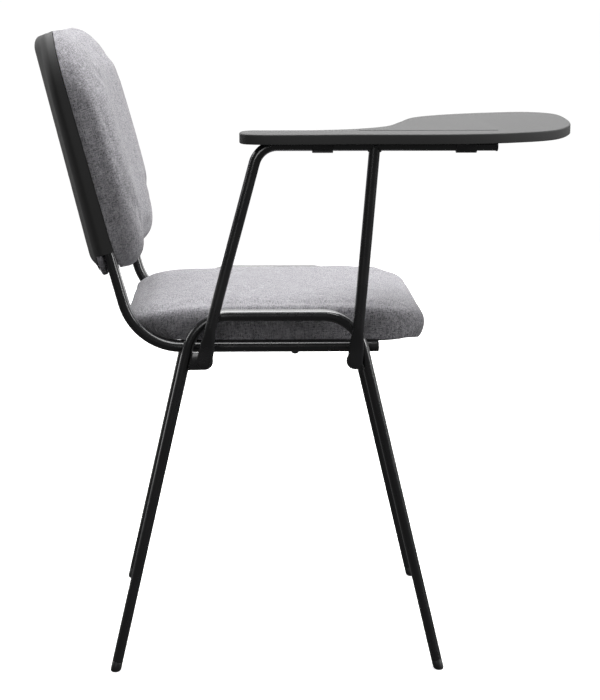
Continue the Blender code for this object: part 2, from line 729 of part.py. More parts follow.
def back_point(x, u, v, flat=False):
    """A point of the back, from its own axes to the chair's."""
    origin_z = RAIL_HEIGHT + BACK_U_ORIGIN_RISE
    origin_y = UPRIGHT_FOOT_Y + UPRIGHT_SLOPE * BACK_U_ORIGIN_RISE
    up = Vector((0.0, math.sin(UPRIGHT_LEAN), math.cos(UPRIGHT_LEAN)))
    forward = Vector((0.0, -math.cos(UPRIGHT_LEAN), math.sin(UPRIGHT_LEAN)))
    bow = 0.0 if flat else back_bow(x)
    face = OVAL_DEPTH / 2 + GAP
    return Vector((x, origin_y, origin_z)) + up * u + forward * (v + face + bow)


def on_back(loop, depth):
    """A loop of (x, u) points on the back, at a depth or at a depth worked out from u."""
    level = depth if callable(depth) else lambda u: depth
    return [back_point(x, u, level(u)) for x, u in loop]


def back_outline(half, bottom, top, low_corner, high_corner):
    return rounded_rectangle(half, bottom, top, low_corner, high_corner, across=BACK_ACROSS_STEPS)


def rings_inward(loop, depth, crown=0.0):
    """Loops that fill a bowed face, from just inside its rim to a pole."""
    rows = []
    for share in RING_SHARES:
        raised = crown * (1 - share * share)
        level = (lambda u, raised=raised: depth(u) + raised) if callable(depth) else depth + raised
        rows.append(on_back(shrunk(loop, share, BACK_MIDDLE), level))
    pole = depth(BACK_MIDDLE) if callable(depth) else depth
    rows.append([back_point(0.0, BACK_MIDDLE, pole + crown)])
    return rows


def back_board_loop(margin=0.0):
    low = BACK_BOARD_BOTTOM - margin
    high = BACK_BOARD_TOP + margin
    corner = BACK_BOARD_CORNER + margin
    return back_outline(BACK_BOARD_HALF_WIDTH + margin, low, high, corner * BACK_BOARD_LOW_SHARE, corner)


def back_bolt_points():
    ends = zip(("lower", "upper"), BACK_BOLT_U)
    return [(side_name, end, side * RAIL_X, u) for end, u in ends for side_name, side in SIDES]


def back_forward():
    return back_point(0, 0, 1.0, flat=True) - back_point(0, 0, 0.0, flat=True)


def make_back_board():
    loop = back_board_loop()
    front = BACK_BOARD_THICKNESS
    loops = rings_inward(loop, 0.0)[::-1] + [on_back(loop, 0.0)]
    loops += [on_back(loop, front)] + rings_inward(loop, front)
    board = add_piece("back_board", loft(loops), PLYWOOD)
    for _, _, x, u in back_bolt_points():
        base = back_point(x, u, -OVERCUT, flat=True)
        cut(board, turned(base, back_forward(), tee_nut_hole(BACK_BOARD_THICKNESS)))


def back_pad_loop(v):
    """The back pad's outline at a depth: square at the shell, round over its front edges."""
    ahead = BACK_PAD_DEPTH - v
    side = round_inset(ahead, *BACK_SIDE_ROUND)
    top = round_inset(ahead, *BACK_TOP_ROUND)
    bottom = round_inset(ahead, *BACK_BOTTOM_ROUND)
    half = BACK_HALF_WIDTH - SHELL_OVERHANG - side
    return back_outline(half, BACK_BOTTOM + bottom, BACK_TOP - top, BACK_LOW_CORNER, BACK_CORNER)


def make_back_pad():
    """Foam and fabric as one body, with a pocket behind for the back board."""
    board = back_board_loop()
    rim = back_board_loop(POCKET_CLEARANCE)
    pocket_depth = BACK_BOARD_THICKNESS + BOW_CLEARANCE
    loops = rings_inward(board, pocket_depth)[::-1] + [on_back(board, pocket_depth)]
    loops += [on_back(rim, pocket_depth), on_back(rim, 0.0)]
    loops += [on_back(back_pad_loop(v), v) for v in (*BACK_LEVELS, BACK_PAD_DEPTH)]
    loops += rings_inward(back_pad_loop(BACK_PAD_DEPTH), BACK_PAD_DEPTH, BACK_PAD_CROWN)
    add_piece("back_cushion", loft(loops), GREY_FABRIC)


def shell_depth(u):
    return SHELL_DEPTH - SHELL_TAPER * u


def shell_rows(margin, wall):
    """The shell's rim and rear, from its open front: margin is in from the outer side, wall off the rear."""
    rows = []
    for share, inset in SHELL_SECTION:
        inset += margin
        half = SHELL_HALF_WIDTH - inset
        loop = back_outline(half, BACK_BOTTOM + inset, SHELL_TOP - inset, SHELL_LOW_CORNER, BACK_CORNER)
        rows.append([back_point(x, u, -BOW_CLEARANCE - share * (shell_depth(u) - wall)) for x, u in loop])
    return rows + rings_inward(loop, lambda u: -BOW_CLEARANCE - shell_depth(u) + wall)


def make_back_shell():
    """The black shell behind the back: a bowed tray whose side wings stop short of its lower edge."""
    outer = shell_rows(0.0, 0.0)
    inner = shell_rows(SHELL_WALL, SHELL_WALL)
    shell = add_piece("back_shell", loft(inner[::-1] + outer), SHELL_PLASTIC)
    half = BACK_HALF_WIDTH + SHELL_CUT_MARGIN
    low = BACK_BOTTOM - SHELL_CUT_MARGIN
    opening = back_outline(half, low, SHELL_WING_BOTTOM, SHELL_OVERHANG, SHELL_OVERHANG)
    loops = [on_back(opening, lambda u: SHELL_WALL - shell_depth(u)), on_back(opening, SHELL_CUT_MARGIN)]
    cut(shell, loft(loops))
    for x, u in SHELL_BOSSES:
        root = back_point(x, u, SHELL_WALL / 2 - shell_depth(u))
        join(shell, cylinder(root, back_point(x, u, -SHELL_BOSS_CLEARANCE), SHELL_BOSS_RADIUS))


def make_back_fasteners():
    depth = OVAL_DEPTH + GAP
    for side_name, end, x, u in back_bolt_points():
        seat = back_point(x, u, -depth, flat=True)
        reach = depth + BACK_BOARD_THICKNESS - BOLT_SHORTFALL
        add_piece(f"back_bolt_{end}_{side_name}", bolt_shape(seat, back_forward(), reach), ZINC)
        base = back_point(x, u, 0.0, flat=True)
        tee_nut(f"back_tee_nut_{end}_{side_name}", base, back_forward(), BACK_BOARD_THICKNESS)


def flattened_foot(foot, direction):
    """Stations up from a tube's flattened, rounded end to where it is round again."""
    half = ARM_END_WIDTH / 2
    thin = ARM_END_THICKNESS / 2
    foot_point = Vector((-ARM_END_X, *foot))
    found = []
    for degrees, share in FLAT_END_ROUND:
        turn = math.radians(degrees)
        centre = foot_point - direction * half * math.cos(turn)
        found.append(station(centre, direction, thin * share, half * math.sin(turn)))
    found.append(station(foot_point, direction, thin, half))
    found.append(station(foot_point + direction * ARM_END_STRAIGHT, direction, thin, half))
    for share in FLAT_BLEND_SHARES:
        ease = share * share * (3 - 2 * share)
        centre = foot_point + direction * (ARM_END_STRAIGHT + share * ARM_END_BLEND)
        centre.x = -ARM_END_X + ease * (ARM_END_X - ARM_X)
        side = thin + ease * (ARM_RADIUS - thin)
        found.append(station(centre, direction, side, half + ease * (ARM_RADIUS - half)))
    return found


def hollow_bar(stations):
    """A bar with its flattened end closed, hollow where it is round and open at the last station."""
    solid_stations = len(FLAT_END_ROUND) + len(FLAT_BLEND_SHARES)
    outer = [oval_ring(*one) for one in stations]
    inner = [
        oval_ring(centre, side, across, half_side - ARM_WALL, half_across - ARM_WALL)
        for centre, side, across, half_side, half_across in stations[solid_stations:]
    ]
    return loft(outer + inner[::-1])


def bolt_into_arm(foot):
    """The blind threaded hole in a flattened end."""
    start = (-LEG_OUTER_X, *foot)
    end = (-LEG_OUTER_X - GAP - ARM_HOLE_DEPTH, *foot)
    return cylinder(start, end, BOLT_RADIUS + HOLE_CLEARANCE)


def make_arm_tube():
    """The rear leg of the tablet arm and its level run, in one bent tube."""
    corners = [
        (-ARM_X, *ARM_FOOT),
        (-ARM_X, *ARM_KNEE),
        (-ARM_X, ARM_CORNER_Y, ARM_RUN_HEIGHT),
        (-ARM_X, ARM_RUN_FRONT, ARM_RUN_HEIGHT),
    ]
    path = bent_path(corners, (ARM_LOWER_BEND, ARM_BEND))
    foot = flattened_foot(ARM_FOOT, path[0][1])
    past = foot[-1][0].z + ARM_WALL
    stations = foot + [station(p, t, ARM_RADIUS, ARM_RADIUS) for p, t in path if p.z > past]
    arm = add_piece("arm_tube", hollow_bar(stations), STEEL_BLACK)
    cut(arm, bolt_into_arm(ARM_FOOT))


def make_arm_post():
    """The front post, flattened below like the rear leg and coped to the run above."""
    start = Vector((-ARM_X, *POST_FOOT))
    end = Vector((-ARM_X, POST_HEAD_Y, ARM_RUN_HEIGHT))
    direction = (end - start).normalized()
    stations = flattened_foot(POST_FOOT, direction) + [station(end, direction, ARM_RADIUS, ARM_RADIUS)]
    post = add_piece("arm_post", hollow_bar(stations), STEEL_BLACK)
    along = Vector((0.0, 2 * ARM_RADIUS, 0.0))
    cut(post, cylinder(end - along, end + along, ARM_RADIUS + COPE_CLEARANCE))
    cut(post, bolt_into_arm(POST_FOOT))


def make_arm_end_plug():
    start = (-ARM_X, ARM_RUN_FRONT - GAP, ARM_RUN_HEIGHT)
    stem = ARM_RADIUS - ARM_WALL - STEM_CLEARANCE
    flange = ARM_RADIUS + ARM_PLUG_LIP
    profile = [(-ARM_PLUG_STEM, stem), (0.0, stem), (0.0, flange), (ARM_PLUG_HEAD - ARM_PLUG_CHAMFER, flange)]
    profile.append((ARM_PLUG_HEAD, flange - ARM_PLUG_CHAMFER))
    add_piece("arm_end_plug", turned(start, (0, -1, 0), profile), PLASTIC_BLACK)


def make_lug(name, foot, front):
    """A steel plate welded to the leg's edge, round about the arm's bolt."""
    slope = FRONT_LEG_SLOPE if front else -REAR_LEG_SLOPE
    edge = (OVAL_DEPTH / 2) * math.sqrt(1 + slope * slope)
    towards = 1.0 if front else -1.0
    y, z = foot
    radius = ARM_END_WIDTH / 2 + LUG_MARGIN
    limit = [leg_line(z + rise, front) + towards * edge for rise in (-LUG_HALF_HEIGHT, LUG_HALF_HEIGHT)]
    outline = [(limit[0], z - LUG_HALF_HEIGHT)]
    for i in range(ROUND_POINTS + 1):
        turn = math.pi * i / ROUND_POINTS - math.pi / 2
        point_y = y + towards * radius * math.cos(turn)
        point_z = z + radius * math.sin(turn)
        reach = leg_line(point_z, front) + towards * edge
        if (point_y - reach) * towards > GAP:
            outline.append((point_y, point_z))
    outline.append((limit[1], z + LUG_HALF_HEIGHT))
    faces = (LEG_OUTER_X, LEG_OUTER_X - LUG_THICKNESS)
    loops = [[Vector((-x, *point)) for point in outline] for x in faces]
    lug = add_piece(name, loft(loops), STEEL_BLACK)
    hole_ends = (-LEG_OUTER_X - OVERCUT, -LEG_OUTER_X + LUG_THICKNESS + OVERCUT)
    cut(lug, cylinder(*((x, y, z) for x in hole_ends), BOLT_RADIUS + HOLE_CLEARANCE))


def make_arm_bolts():
    for end, foot in (("rear", ARM_FOOT), ("front", POST_FOOT)):
        seat = (-LEG_OUTER_X + LUG_THICKNESS, *foot)
        reach = LUG_THICKNESS + GAP + ARM_BOLT_DEPTH
        add_piece(f"arm_bolt_{end}", bolt_shape(seat, (-1, 0, 0), reach), ZINC)


def make_stop_tab(tilted):
    """The tab on the run that the lowered tablet rests on, in the tilted frame of the tablet."""
    inner = ARM_RADIUS + GAP
    low = (inner, STOP_Y - STOP_LENGTH / 2, -STOP_THICKNESS / 2)
    high = (STOP_REACH, STOP_Y + STOP_LENGTH / 2, STOP_THICKNESS / 2)
    add_piece("tablet_stop_tab", block(low, high), STEEL_BLACK, tilted)


def tablet_outline():
    """The tablet's edge in the hinge's axes, running anticlockwise from above."""
    points = [(inward - TABLET_OUTBOARD, -ahead) for ahead, inward in TABLET_OUTLINE]
    return smooth_outline(points, OUTLINE_STEPS)


def at_level(outline, z):
    return [Vector((point.x, point.y, z)) for point in outline]


def clip_screw_points():
    ends = zip(("rear", "front"), CLIP_Y)
    sides = (("outer", -CLIP_SCREW_X), ("inner", CLIP_SCREW_X))
    return [(end, name, x, y) for end, y in ends for name, x in sides]


def make_tablet(hinge):
    """An upturned tray: a plate with a skirt, ribs, screw bosses, a stop pad and a pencil groove."""
    outline = tablet_outline()
    plate = TABLET_TOP - TABLET_PLATE
    skirt = TABLET_TOP - TABLET_DEPTH
    half_round = TABLET_EDGE_ROUND * (1 - math.sin(math.radians(45)))
    loops = [
        at_level(inset_outline(outline, TABLET_WALL), plate),
        at_level(inset_outline(outline, TABLET_WALL), skirt),
        at_level(outline, skirt),
        at_level(outline, TABLET_TOP - TABLET_EDGE_ROUND),
        at_level(inset_outline(outline, half_round), TABLET_TOP - half_round),
        at_level(inset_outline(outline, TABLET_EDGE_ROUND), TABLET_TOP),
    ]
    tablet = add_piece("tablet", loft(loops), TABLET_PLASTIC, hinge)
    root = plate + TABLET_PLATE / 3
    for low, high in tablet_ribs():
        join(tablet, block((*low, plate - RIB_HEIGHT), (*high, root)), hinge)
    boss_base = CLIP_FLANGE[1] + GAP
    for _, _, x, y in clip_screw_points():
        join(tablet, cylinder((x, y, boss_base), (x, y, root), BOSS_RADIUS), hinge)
        pilot = CLIP_SCREW_RADIUS + HOLE_CLEARANCE
        cut(tablet, cylinder((x, y, boss_base - OVERCUT), (x, y, plate - GAP), pilot), hinge)
    half = STOP_PAD_LENGTH / 2
    pad_low = (STOP_REACH - STOP_PAD_REACH, STOP_Y - half, STOP_THICKNESS / 2 + GAP)
    pad_high = (STOP_REACH - STOP_PAD_MARGIN, STOP_Y + half, root)
    join(tablet, block(pad_low, pad_high), hinge)
    groove_x = GROOVE_OFFSET - TABLET_OUTBOARD
    groove_low = (groove_x - GROOVE_WIDTH / 2, GROOVE_Y[0], TABLET_TOP - GROOVE_DEPTH)
    groove_high = (groove_x + GROOVE_WIDTH / 2, GROOVE_Y[1], TABLET_TOP + OVERCUT)
    cut(tablet, block(groove_low, groove_high), hinge)


def tablet_ribs():
    """Low and high (x, y) corners of the stiffening ribs, clear of the skirt and of each other."""
    half = RIB_THICKNESS / 2
    ribs = []
    for ahead, far in RIBS:
        ribs.append(((RIB_START, -ahead - half), (far, -ahead + half)))
    return ribs


def make_clip(end, y, hinge):
    """A plastic saddle that holds the tablet down on the run and turns about it."""
    bore = ARM_RADIUS + CLIP_CLEARANCE
    reach = bore + CLIP_WALL
    low, high = CLIP_FLANGE
    half = CLIP_LENGTH / 2
    outline = [(CLIP_FLANGE_REACH, low), (CLIP_FLANGE_REACH, high), (bore, high), (bore, 0.0)]
    for i in range(1, 12):
        turn = -math.pi * i / 12
        outline.append((bore * math.cos(turn), bore * math.sin(turn)))
    outline += [(-bore, 0.0), (-bore, high), (-CLIP_FLANGE_REACH, high), (-CLIP_FLANGE_REACH, low)]
    outline += [(-reach, low), (-reach, 0.0)]
    for i in range(1, 10):
        turn = math.pi + math.pi * i / 10
        outline.append((reach * math.cos(turn), reach * math.sin(turn)))
    outline += [(reach, 0.0), (reach, low)]
    ends = (y - half, y + half)
    shape = loft([[Vector((x, along, z)) for x, z in outline] for along in ends])
    clip = add_piece(f"hinge_clip_{end}", shape, PLASTIC_BLACK, hinge)
    hole = CLIP_SCREW_RADIUS + HOLE_CLEARANCE
    for x in (-CLIP_SCREW_X, CLIP_SCREW_X):
        cut(clip, cylinder((x, y, low - OVERCUT), (x, y, high + OVERCUT), hole), hinge)


def make_clip_screws(hinge):
    low = CLIP_FLANGE[0]
    tip = TABLET_TOP - TABLET_PLATE - BOLT_SHORTFALL - low
    for end, name, x, y in clip_screw_points():
        profile = [
            (-CLIP_SCREW_HEAD_HEIGHT - GAP, CLIP_SCREW_HEAD * 0.7),
            (-CLIP_SCREW_HEAD_HEIGHT * 0.5 - GAP, CLIP_SCREW_HEAD),
            (-GAP, CLIP_SCREW_HEAD),
            (-GAP, CLIP_SCREW_RADIUS),
            (tip, CLIP_SCREW_RADIUS),
        ]
        screw = turned((x, y, low), (0, 0, 1), profile, SCREW_POINTS)
        add_piece(f"clip_screw_{end}_{name}", screw, ZINC, hinge)


def add_empty(name, place, turn=0.0):
    """An empty at a place, turned by a number of degrees that lifts the inboard side."""
    empty = bpy.data.objects.new(name, None)
    bpy.context.scene.collection.objects.link(empty)
    empty.location = place
    empty.rotation_euler = (0.0, -math.radians(turn), 0.0)
    return empty


def stand_on_origin():
    """Moves the whole chair so that the middle of its floor box is the origin."""
    bpy.context.view_layer.update()
    graph = bpy.context.evaluated_depsgraph_get()
    corners = []
    for obj in bpy.data.objects:
        if obj.type == "MESH" and not obj.hide_render:
            solid = obj.evaluated_get(graph)
            corners += [solid.matrix_world @ Vector(corner) for corner in solid.bound_box]
    middle = [(min(c[axis] for c in corners) + max(c[axis] for c in corners)) / 2 for axis in (0, 1)]
    whole = add_empty("chair", (-middle[0], -middle[1], 0.0))
    for obj in bpy.data.objects:
        if obj.parent is None and obj is not whole:
            obj.parent = whole


def make_frame():
    for side_name, side in SIDES:
        make_leg_frame(side_name, side)
        make_rail(side_name, side)
        make_rail_plug(side_name, side)
        make_stack_pad(side_name, side)
        for end, front in (("front", True), ("rear", False)):
            make_foot(f"foot_{end}_{side_name}", side * LEG_X, front)
    for end, y in zip(("front", "rear"), CROSSBAR_Y):
        make_crossbar(f"crossbar_{end}", y)


def make_arm():
    make_arm_tube()
    make_arm_post()
    make_arm_end_plug()
    make_lug("arm_lug_rear", ARM_FOOT, False)
    make_lug("arm_lug_front", POST_FOOT, True)
    make_arm_bolts()
    axis = (-ARM_X, 0.0, ARM_RUN_HEIGHT)
    make_stop_tab(add_empty("stop_frame", axis, TABLET_TILT))
    hinge = add_empty("tablet_hinge", axis, TABLET_TILT)
    make_tablet(hinge)
    for end, y in zip(("rear", "front"), CLIP_Y):
        make_clip(end, y, hinge)
    make_clip_screws(hinge)


def main():
    clear_scene()
    make_frame()
    make_seat_board()
    make_seat_cover()
    make_seat_pad()
    make_seat_fasteners()
    make_back_board()
    make_back_pad()
    make_back_shell()
    make_back_fasteners()
    make_arm()
    stand_on_origin()


main()
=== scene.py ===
"""The finished look of a stacking student chair with a flip-up writing tablet.

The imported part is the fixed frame. Each operator builds one piece, or a group of like pieces, round it:
powder-coated tube, moulded plastic, simulated cushions and the tablet. The last one sets the stage.
"""

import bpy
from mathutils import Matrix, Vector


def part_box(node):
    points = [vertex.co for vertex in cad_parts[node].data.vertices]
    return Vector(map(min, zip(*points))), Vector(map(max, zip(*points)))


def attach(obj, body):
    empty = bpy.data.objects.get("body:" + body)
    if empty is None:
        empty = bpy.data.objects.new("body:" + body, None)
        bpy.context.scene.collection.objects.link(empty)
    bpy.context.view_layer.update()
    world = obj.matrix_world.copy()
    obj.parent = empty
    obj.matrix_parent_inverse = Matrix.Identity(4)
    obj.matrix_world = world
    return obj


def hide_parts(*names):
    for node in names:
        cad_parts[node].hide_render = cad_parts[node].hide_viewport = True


bl_info = {
    "name": "Student Desk Chair",
    "version": (1, 0, 0),
    "blender": (4, 5, 0),
    "location": "3D View > Sidebar > Desk Chair",
    "description": "Builds the finished look of a stacking student chair with a flip-up writing tablet",
    "category": "Object",
}

import math

import bmesh
import bpy
import numpy as np
from bpy.props import FloatProperty, FloatVectorProperty, IntProperty, PointerProperty
from bpy.types import Operator, Panel, PropertyGroup
from mathutils import Matrix, Vector

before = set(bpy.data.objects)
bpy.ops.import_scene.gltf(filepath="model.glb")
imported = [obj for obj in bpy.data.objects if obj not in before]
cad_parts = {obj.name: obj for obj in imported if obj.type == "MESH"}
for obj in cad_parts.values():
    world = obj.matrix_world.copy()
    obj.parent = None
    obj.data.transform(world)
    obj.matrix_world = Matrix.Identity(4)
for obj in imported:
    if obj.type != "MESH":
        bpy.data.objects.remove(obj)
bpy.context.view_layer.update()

# Where the chair's own middle lies in the part's frame. The rail's front is a known distance from it.
RAIL_FRONT = -0.132
MIDDLE_X = (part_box("leg_frame_right")[0][0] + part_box("leg_frame_left")[1][0]) / 2
MIDDLE_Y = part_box("rail_plug_right")[0][1] - RAIL_FRONT
MIDDLE = Vector((MIDDLE_X, MIDDLE_Y, 0.0))
ORIGIN = Vector((0.0, 0.0, 0.0))

GAP = 0.0003

# Frame tube.
OVAL_WIDTH = 0.030
OVAL_DEPTH = 0.0135
OVAL_WALL = 0.0014
LEG_X = 0.255
FOOT_SPREAD = 0.4216
FOOT_HEIGHT = 0.014
ARCH_HEIGHT = 0.466
ARCH_BEND = 0.054
REAR_LEG_SLOPE = 0.2286
FRONT_LEG_SLOPE = 0.2359
RAIL_X = LEG_X - OVAL_WIDTH - GAP
RAIL_HEIGHT = 0.422
RAIL_BEND = 0.078
UPRIGHT_SLOPE = 0.277
UPRIGHT_FOOT_Y = 0.1812
UPRIGHT_TOP_RISE = 0.330
UPRIGHT_LEAN = math.atan(UPRIGHT_SLOPE)
CROSSBAR_Y = (-0.060, 0.084)
STACK_PAD_Y = -0.024
SEAT_BOLT_X = RAIL_X - 0.0057
SEAT_BOLT_Y = (-0.104, 0.088)
LEG_OUTER_X = LEG_X + OVAL_WIDTH / 2

# Tablet arm.
ARM_RADIUS = 0.0072
ARM_X = LEG_OUTER_X + GAP + ARM_RADIUS + 0.001
ARM_RUN_HEIGHT = 0.6838
ARM_RUN_FRONT = -0.2747
ARM_BEND = 0.030
ARM_LOWER_BEND = 0.100
ARM_FOOT = (0.0925, 0.4085)
ARM_KNEE = (0.0847, 0.452)
ARM_CORNER_Y = 0.0225
POST_FOOT = (-0.0995, 0.4085)
POST_HEAD_Y = -0.1232
ARM_END_WIDTH = 0.0196
ARM_END_THICKNESS = 0.008
ARM_END_X = LEG_OUTER_X + GAP + ARM_END_THICKNESS / 2
ARM_END_STRAIGHT = 0.012
ARM_END_BLEND = 0.034
LUG_THICKNESS = 0.004
LUG_RADIUS = ARM_END_WIDTH / 2 + 0.0012
LUG_HALF_HEIGHT = 0.0115
STOP_Y = -0.170
STOP_LENGTH = 0.036
STOP_REACH = 0.0215
STOP_THICKNESS = 0.003

# Seat and back.
SEAT_BASE = RAIL_HEIGHT + OVAL_DEPTH / 2 + 0.0021
SEAT_HALF_WIDTH = 0.2315  # the cushions' sizes are those of the shape before it is filled out
SEAT_FRONT = -0.1970
SEAT_REAR = 0.1980
SEAT_THICKNESS = 0.0430
BASE_SHARES = (0.02, 0.4, 0.8, 1.0)  # of the outline, for the rings that close a pad below and above
CAP_SHARES = (0.9, 0.6, 0.3, 0.02)
PAD_SKIRT = 0.012  # drawn below a pad's base, and cut off once the pad has its shape
PULL_IN = 0.0012  # the most that the cloth may draw a side in
SEAT_CORNER = 0.055
SEAT_BOARD_HALF_WIDTH = 0.2285
SEAT_BOARD_Y = (-0.172, 0.128)
SEAT_BOARD_CORNER = 0.050
SEAT_BOARD_THICKNESS = 0.010
SEAT_POCKET_ROOM = 0.0006
SEAT_COVER_OVERHANG = 0.003
SEAT_COVER_DROP = 0.0018
SEAT_NOSE_DROP = 0.003
BACK_U_ORIGIN_RISE = 0.1630
BACK_LAND = RAIL_X - OVAL_WIDTH / 2
BACK_BOW = 0.023
BACK_BOTTOM = -0.080
BACK_TOP = 0.247
BACK_HALF_WIDTH = 0.2415
BACK_CORNER = 0.072
BACK_LOW_CORNER = 0.050
BACK_PAD_DEPTH = 0.0345
BACK_BOARD = (0.2345, -0.050, 0.222, 0.0416, 0.052)  # half width, bottom, top, low corner, top corner
BACK_BOARD_THICKNESS = 0.009
BACK_POCKET_ROOM = 0.0008
BACK_PAD_RISE = 0.011  # of the pad's lower edge over the back's bottom
BACK_PAD_SAG = 0.009  # of the middle of its lower edge
SHELL_RISE = 0.008

# The cloth turned under the back's lower edge.
LIP_HALF_WIDTH = 0.186
LIP_CORNER = (0.012, 0.006)
LIP_SECTION = (
    (0.000, -0.0460),
    (0.003, -0.0580),
    (0.001, -0.0650),
    (-0.006, -0.0695),
    (-0.0180, -0.0700),
    (-0.0232, -0.0680),
    (-0.0238, -0.0580),
    (-0.0238, -0.0440),
    (-0.0120, -0.0440),
)
LIP_REAR_HALF_WIDTH = 0.239
LIP_REAR_SECTION = (
    (-0.0152, -0.0300),
    (-0.0152, -0.0690),
    (-0.0170, -0.0705),
    (-0.0220, -0.0705),
    (-0.0238, -0.0690),
    (-0.0238, -0.0300),
)

SHELL_WALL = 0.0025
SHELL_DEPTH = 0.0253
SHELL_TAPER = 0.0236
SHELL_LOW_CORNER = 0.022
SHELL_WING_BOTTOM = -0.043
BOW_CLEARANCE = 0.0008

# Tablet, in its hinge's own axes.
TABLET_TILT = math.radians(2.6)
TABLET_OUTBOARD = 0.0265
TABLET_TOP = 0.0163
TABLET_DEPTH = 0.0128
TABLET_PLATE = 0.0035
TABLET_WALL = 0.003
GROOVE_OFFSET = 0.049
GROOVE_WIDTH = 0.005
GROOVE_DEPTH = 0.0014
GROOVE_Y = (-0.281, -0.103)
CLIP_Y = (-0.0573, -0.2380)
CLIP_LENGTH = 0.0262
CLIP_SCREW_X = 0.0134
CLIP_FLANGE = (0.0045, 0.0075)
CLIP_FLANGE_REACH = 0.0168
CLIP_BORE = ARM_RADIUS + 0.0005
CLIP_WALL = 0.0020
TABLET_OUTLINE = (
    (-0.034, 0.0),
    (0.100, 0.0),
    (0.225, 0.001),
    (0.296, 0.017),
    (0.350, 0.049),
    (0.380, 0.115),
    (0.388, 0.200),
    (0.378, 0.279),
    (0.345, 0.302),
    (0.290, 0.292),
    (0.225, 0.262),
    (0.185, 0.224),
    (0.162, 0.160),
    (0.141, 0.105),
    (0.103, 0.072),
    (0.050, 0.055),
    (0.000, 0.053),
    (-0.034, 0.052),
    (-0.045, 0.041),
    (-0.045, 0.011),
)

# Stage.
CAMERA_PLACE = (-3.2607, 0.0484, 0.8638)
CAMERA_WAY = (0.98898, -0.025665, -0.145809)
CAMERA_LENS = 122.04
FLOOR_RADIUS = 60.0
FLOOR_LEVEL = -0.0002
BACKDROP = ((5.2, -14.0, -0.1), (5.3, 14.0, 7.0))
LIGHTS = (
    ("top_light", (0.7, -0.3, 3.1), (0.0, 0.0, 0.4), (3.6, 3.6)),
    ("front_light", (-1.2, -3.6, 1.7), (0.0, 0.0, 0.5), (1.4, 2.0)),
    ("rear_light", (0.9, 3.8, 2.2), (0.0, 0.2, 0.6), (1.6, 1.6)),
    ("near_light", (-3.4, 0.9, 1.5), (0.0, 0.0, 0.45), (0.9, 1.4)),
)

SIDES = (("right", -1.0), ("left", 1.0))
TUBE_RING = 32
BEND_STEPS = 24


# Shapes.


def loft(loops, closed_ends=True):
    """A bmesh through equal loops of points. A one-point loop is a pole."""
    shape = bmesh.new()
    rows = [[shape.verts.new(point) for point in loop] for loop in loops]
    for low, high in zip(rows, rows[1:]):
        bridge(shape, low, high)
    if closed_ends:
        for row in (rows[0], rows[-1]):
            if len(row) > 2:
                shape.faces.new(row)
    return shape


def bridge(shape, low, high):
    if len(low) == 1:
        low, high = high, low
    count = len(low)
    for i in range(count):
        j = (i + 1) % count
        if len(high) == 1:
            shape.faces.new((low[i], low[j], high[0]))
        else:
            shape.faces.new((low[i], low[j], high[j], high[i]))


def joined(shapes):
    """Several bmeshes as one."""
    whole = bmesh.new()
    for shape in shapes:
        mesh = bpy.data.meshes.new("part_of_piece")
        shape.to_mesh(mesh)
        shape.free()
        whole.from_mesh(mesh)
        bpy.data.meshes.remove(mesh)
    return whole


def add_object(name, shape, sharp=35.0, offset=MIDDLE):
    """The bmesh as an object at the origin, drawn about the chair's middle, with its faces outwards."""
    bmesh.ops.recalc_face_normals(shape, faces=shape.faces)
    if shape.calc_volume(signed=True) < 0:
        bmesh.ops.reverse_faces(shape, faces=shape.faces)
    bmesh.ops.translate(shape, verts=shape.verts, vec=offset)
    mesh = bpy.data.meshes.new(name)
    shape.to_mesh(mesh)
    shape.free()
    mesh.shade_smooth()
    mesh.set_sharp_from_angle(angle=math.radians(sharp))
    obj = bpy.data.objects.new(name, mesh)
    bpy.context.scene.collection.objects.link(obj)
    return obj


def settle(obj):
    """Turns the object's modifiers into plain mesh."""
    graph = bpy.context.evaluated_depsgraph_get()
    mesh = bpy.data.meshes.new_from_object(obj.evaluated_get(graph))
    old = obj.data
    obj.modifiers.clear()
    obj.data = mesh
    bpy.data.meshes.remove(old)


def cut(obj, shape, operation="DIFFERENCE", offset=MIDDLE):
    """Cuts a shape out of the object. It is drawn about the chair's middle unless another offset is given."""
    cutter = add_object("cutter", shape, offset=offset)
    modifier = obj.modifiers.new("cut", "BOOLEAN")
    modifier.operation = operation
    modifier.solver = "EXACT"
    modifier.object = cutter
    settle(obj)
    bpy.data.objects.remove(cutter, do_unlink=True)


def soften(obj, width, segments=2, angle=40.0):
    """Rounds the object's sharp edges."""
    modifier = obj.modifiers.new("soften", "BEVEL")
    modifier.width = width
    modifier.segments = segments
    modifier.limit_method = "ANGLE"
    modifier.angle_limit = math.radians(angle)
    modifier.harden_normals = False
    settle(obj)
    obj.data.shade_smooth()
    obj.data.set_sharp_from_angle(angle=math.radians(50))


def finish_piece(obj, body, slot, material, *nodes):
    """Gives a piece its material, hangs it on its body's empty and hides the part's nodes that it stands for.
    """
    obj.data.materials.clear()
    obj.data.materials.append(material)
    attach(obj, body)
    if nodes:
        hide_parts(*nodes)
    return obj


def oval_ring(centre, side, across, half_side, half_across, count=TUBE_RING):
    radius = min(half_side, half_across)
    ring = []
    for i in range(count):
        angle = (i + 0.5) * math.tau / count
        along = math.copysign(half_side - radius, math.cos(angle)) + radius * math.cos(angle)
        out = math.copysign(half_across - radius, math.sin(angle)) + radius * math.sin(angle)
        ring.append(centre + side * along + across * out)
    return ring


def station(centre, tangent, half_side, half_across):
    """A ring square to a path that stays in a plane of constant x."""
    side = Vector((1.0, 0.0, 0.0))
    return (centre, side, side.cross(tangent).normalized(), half_side, half_across)


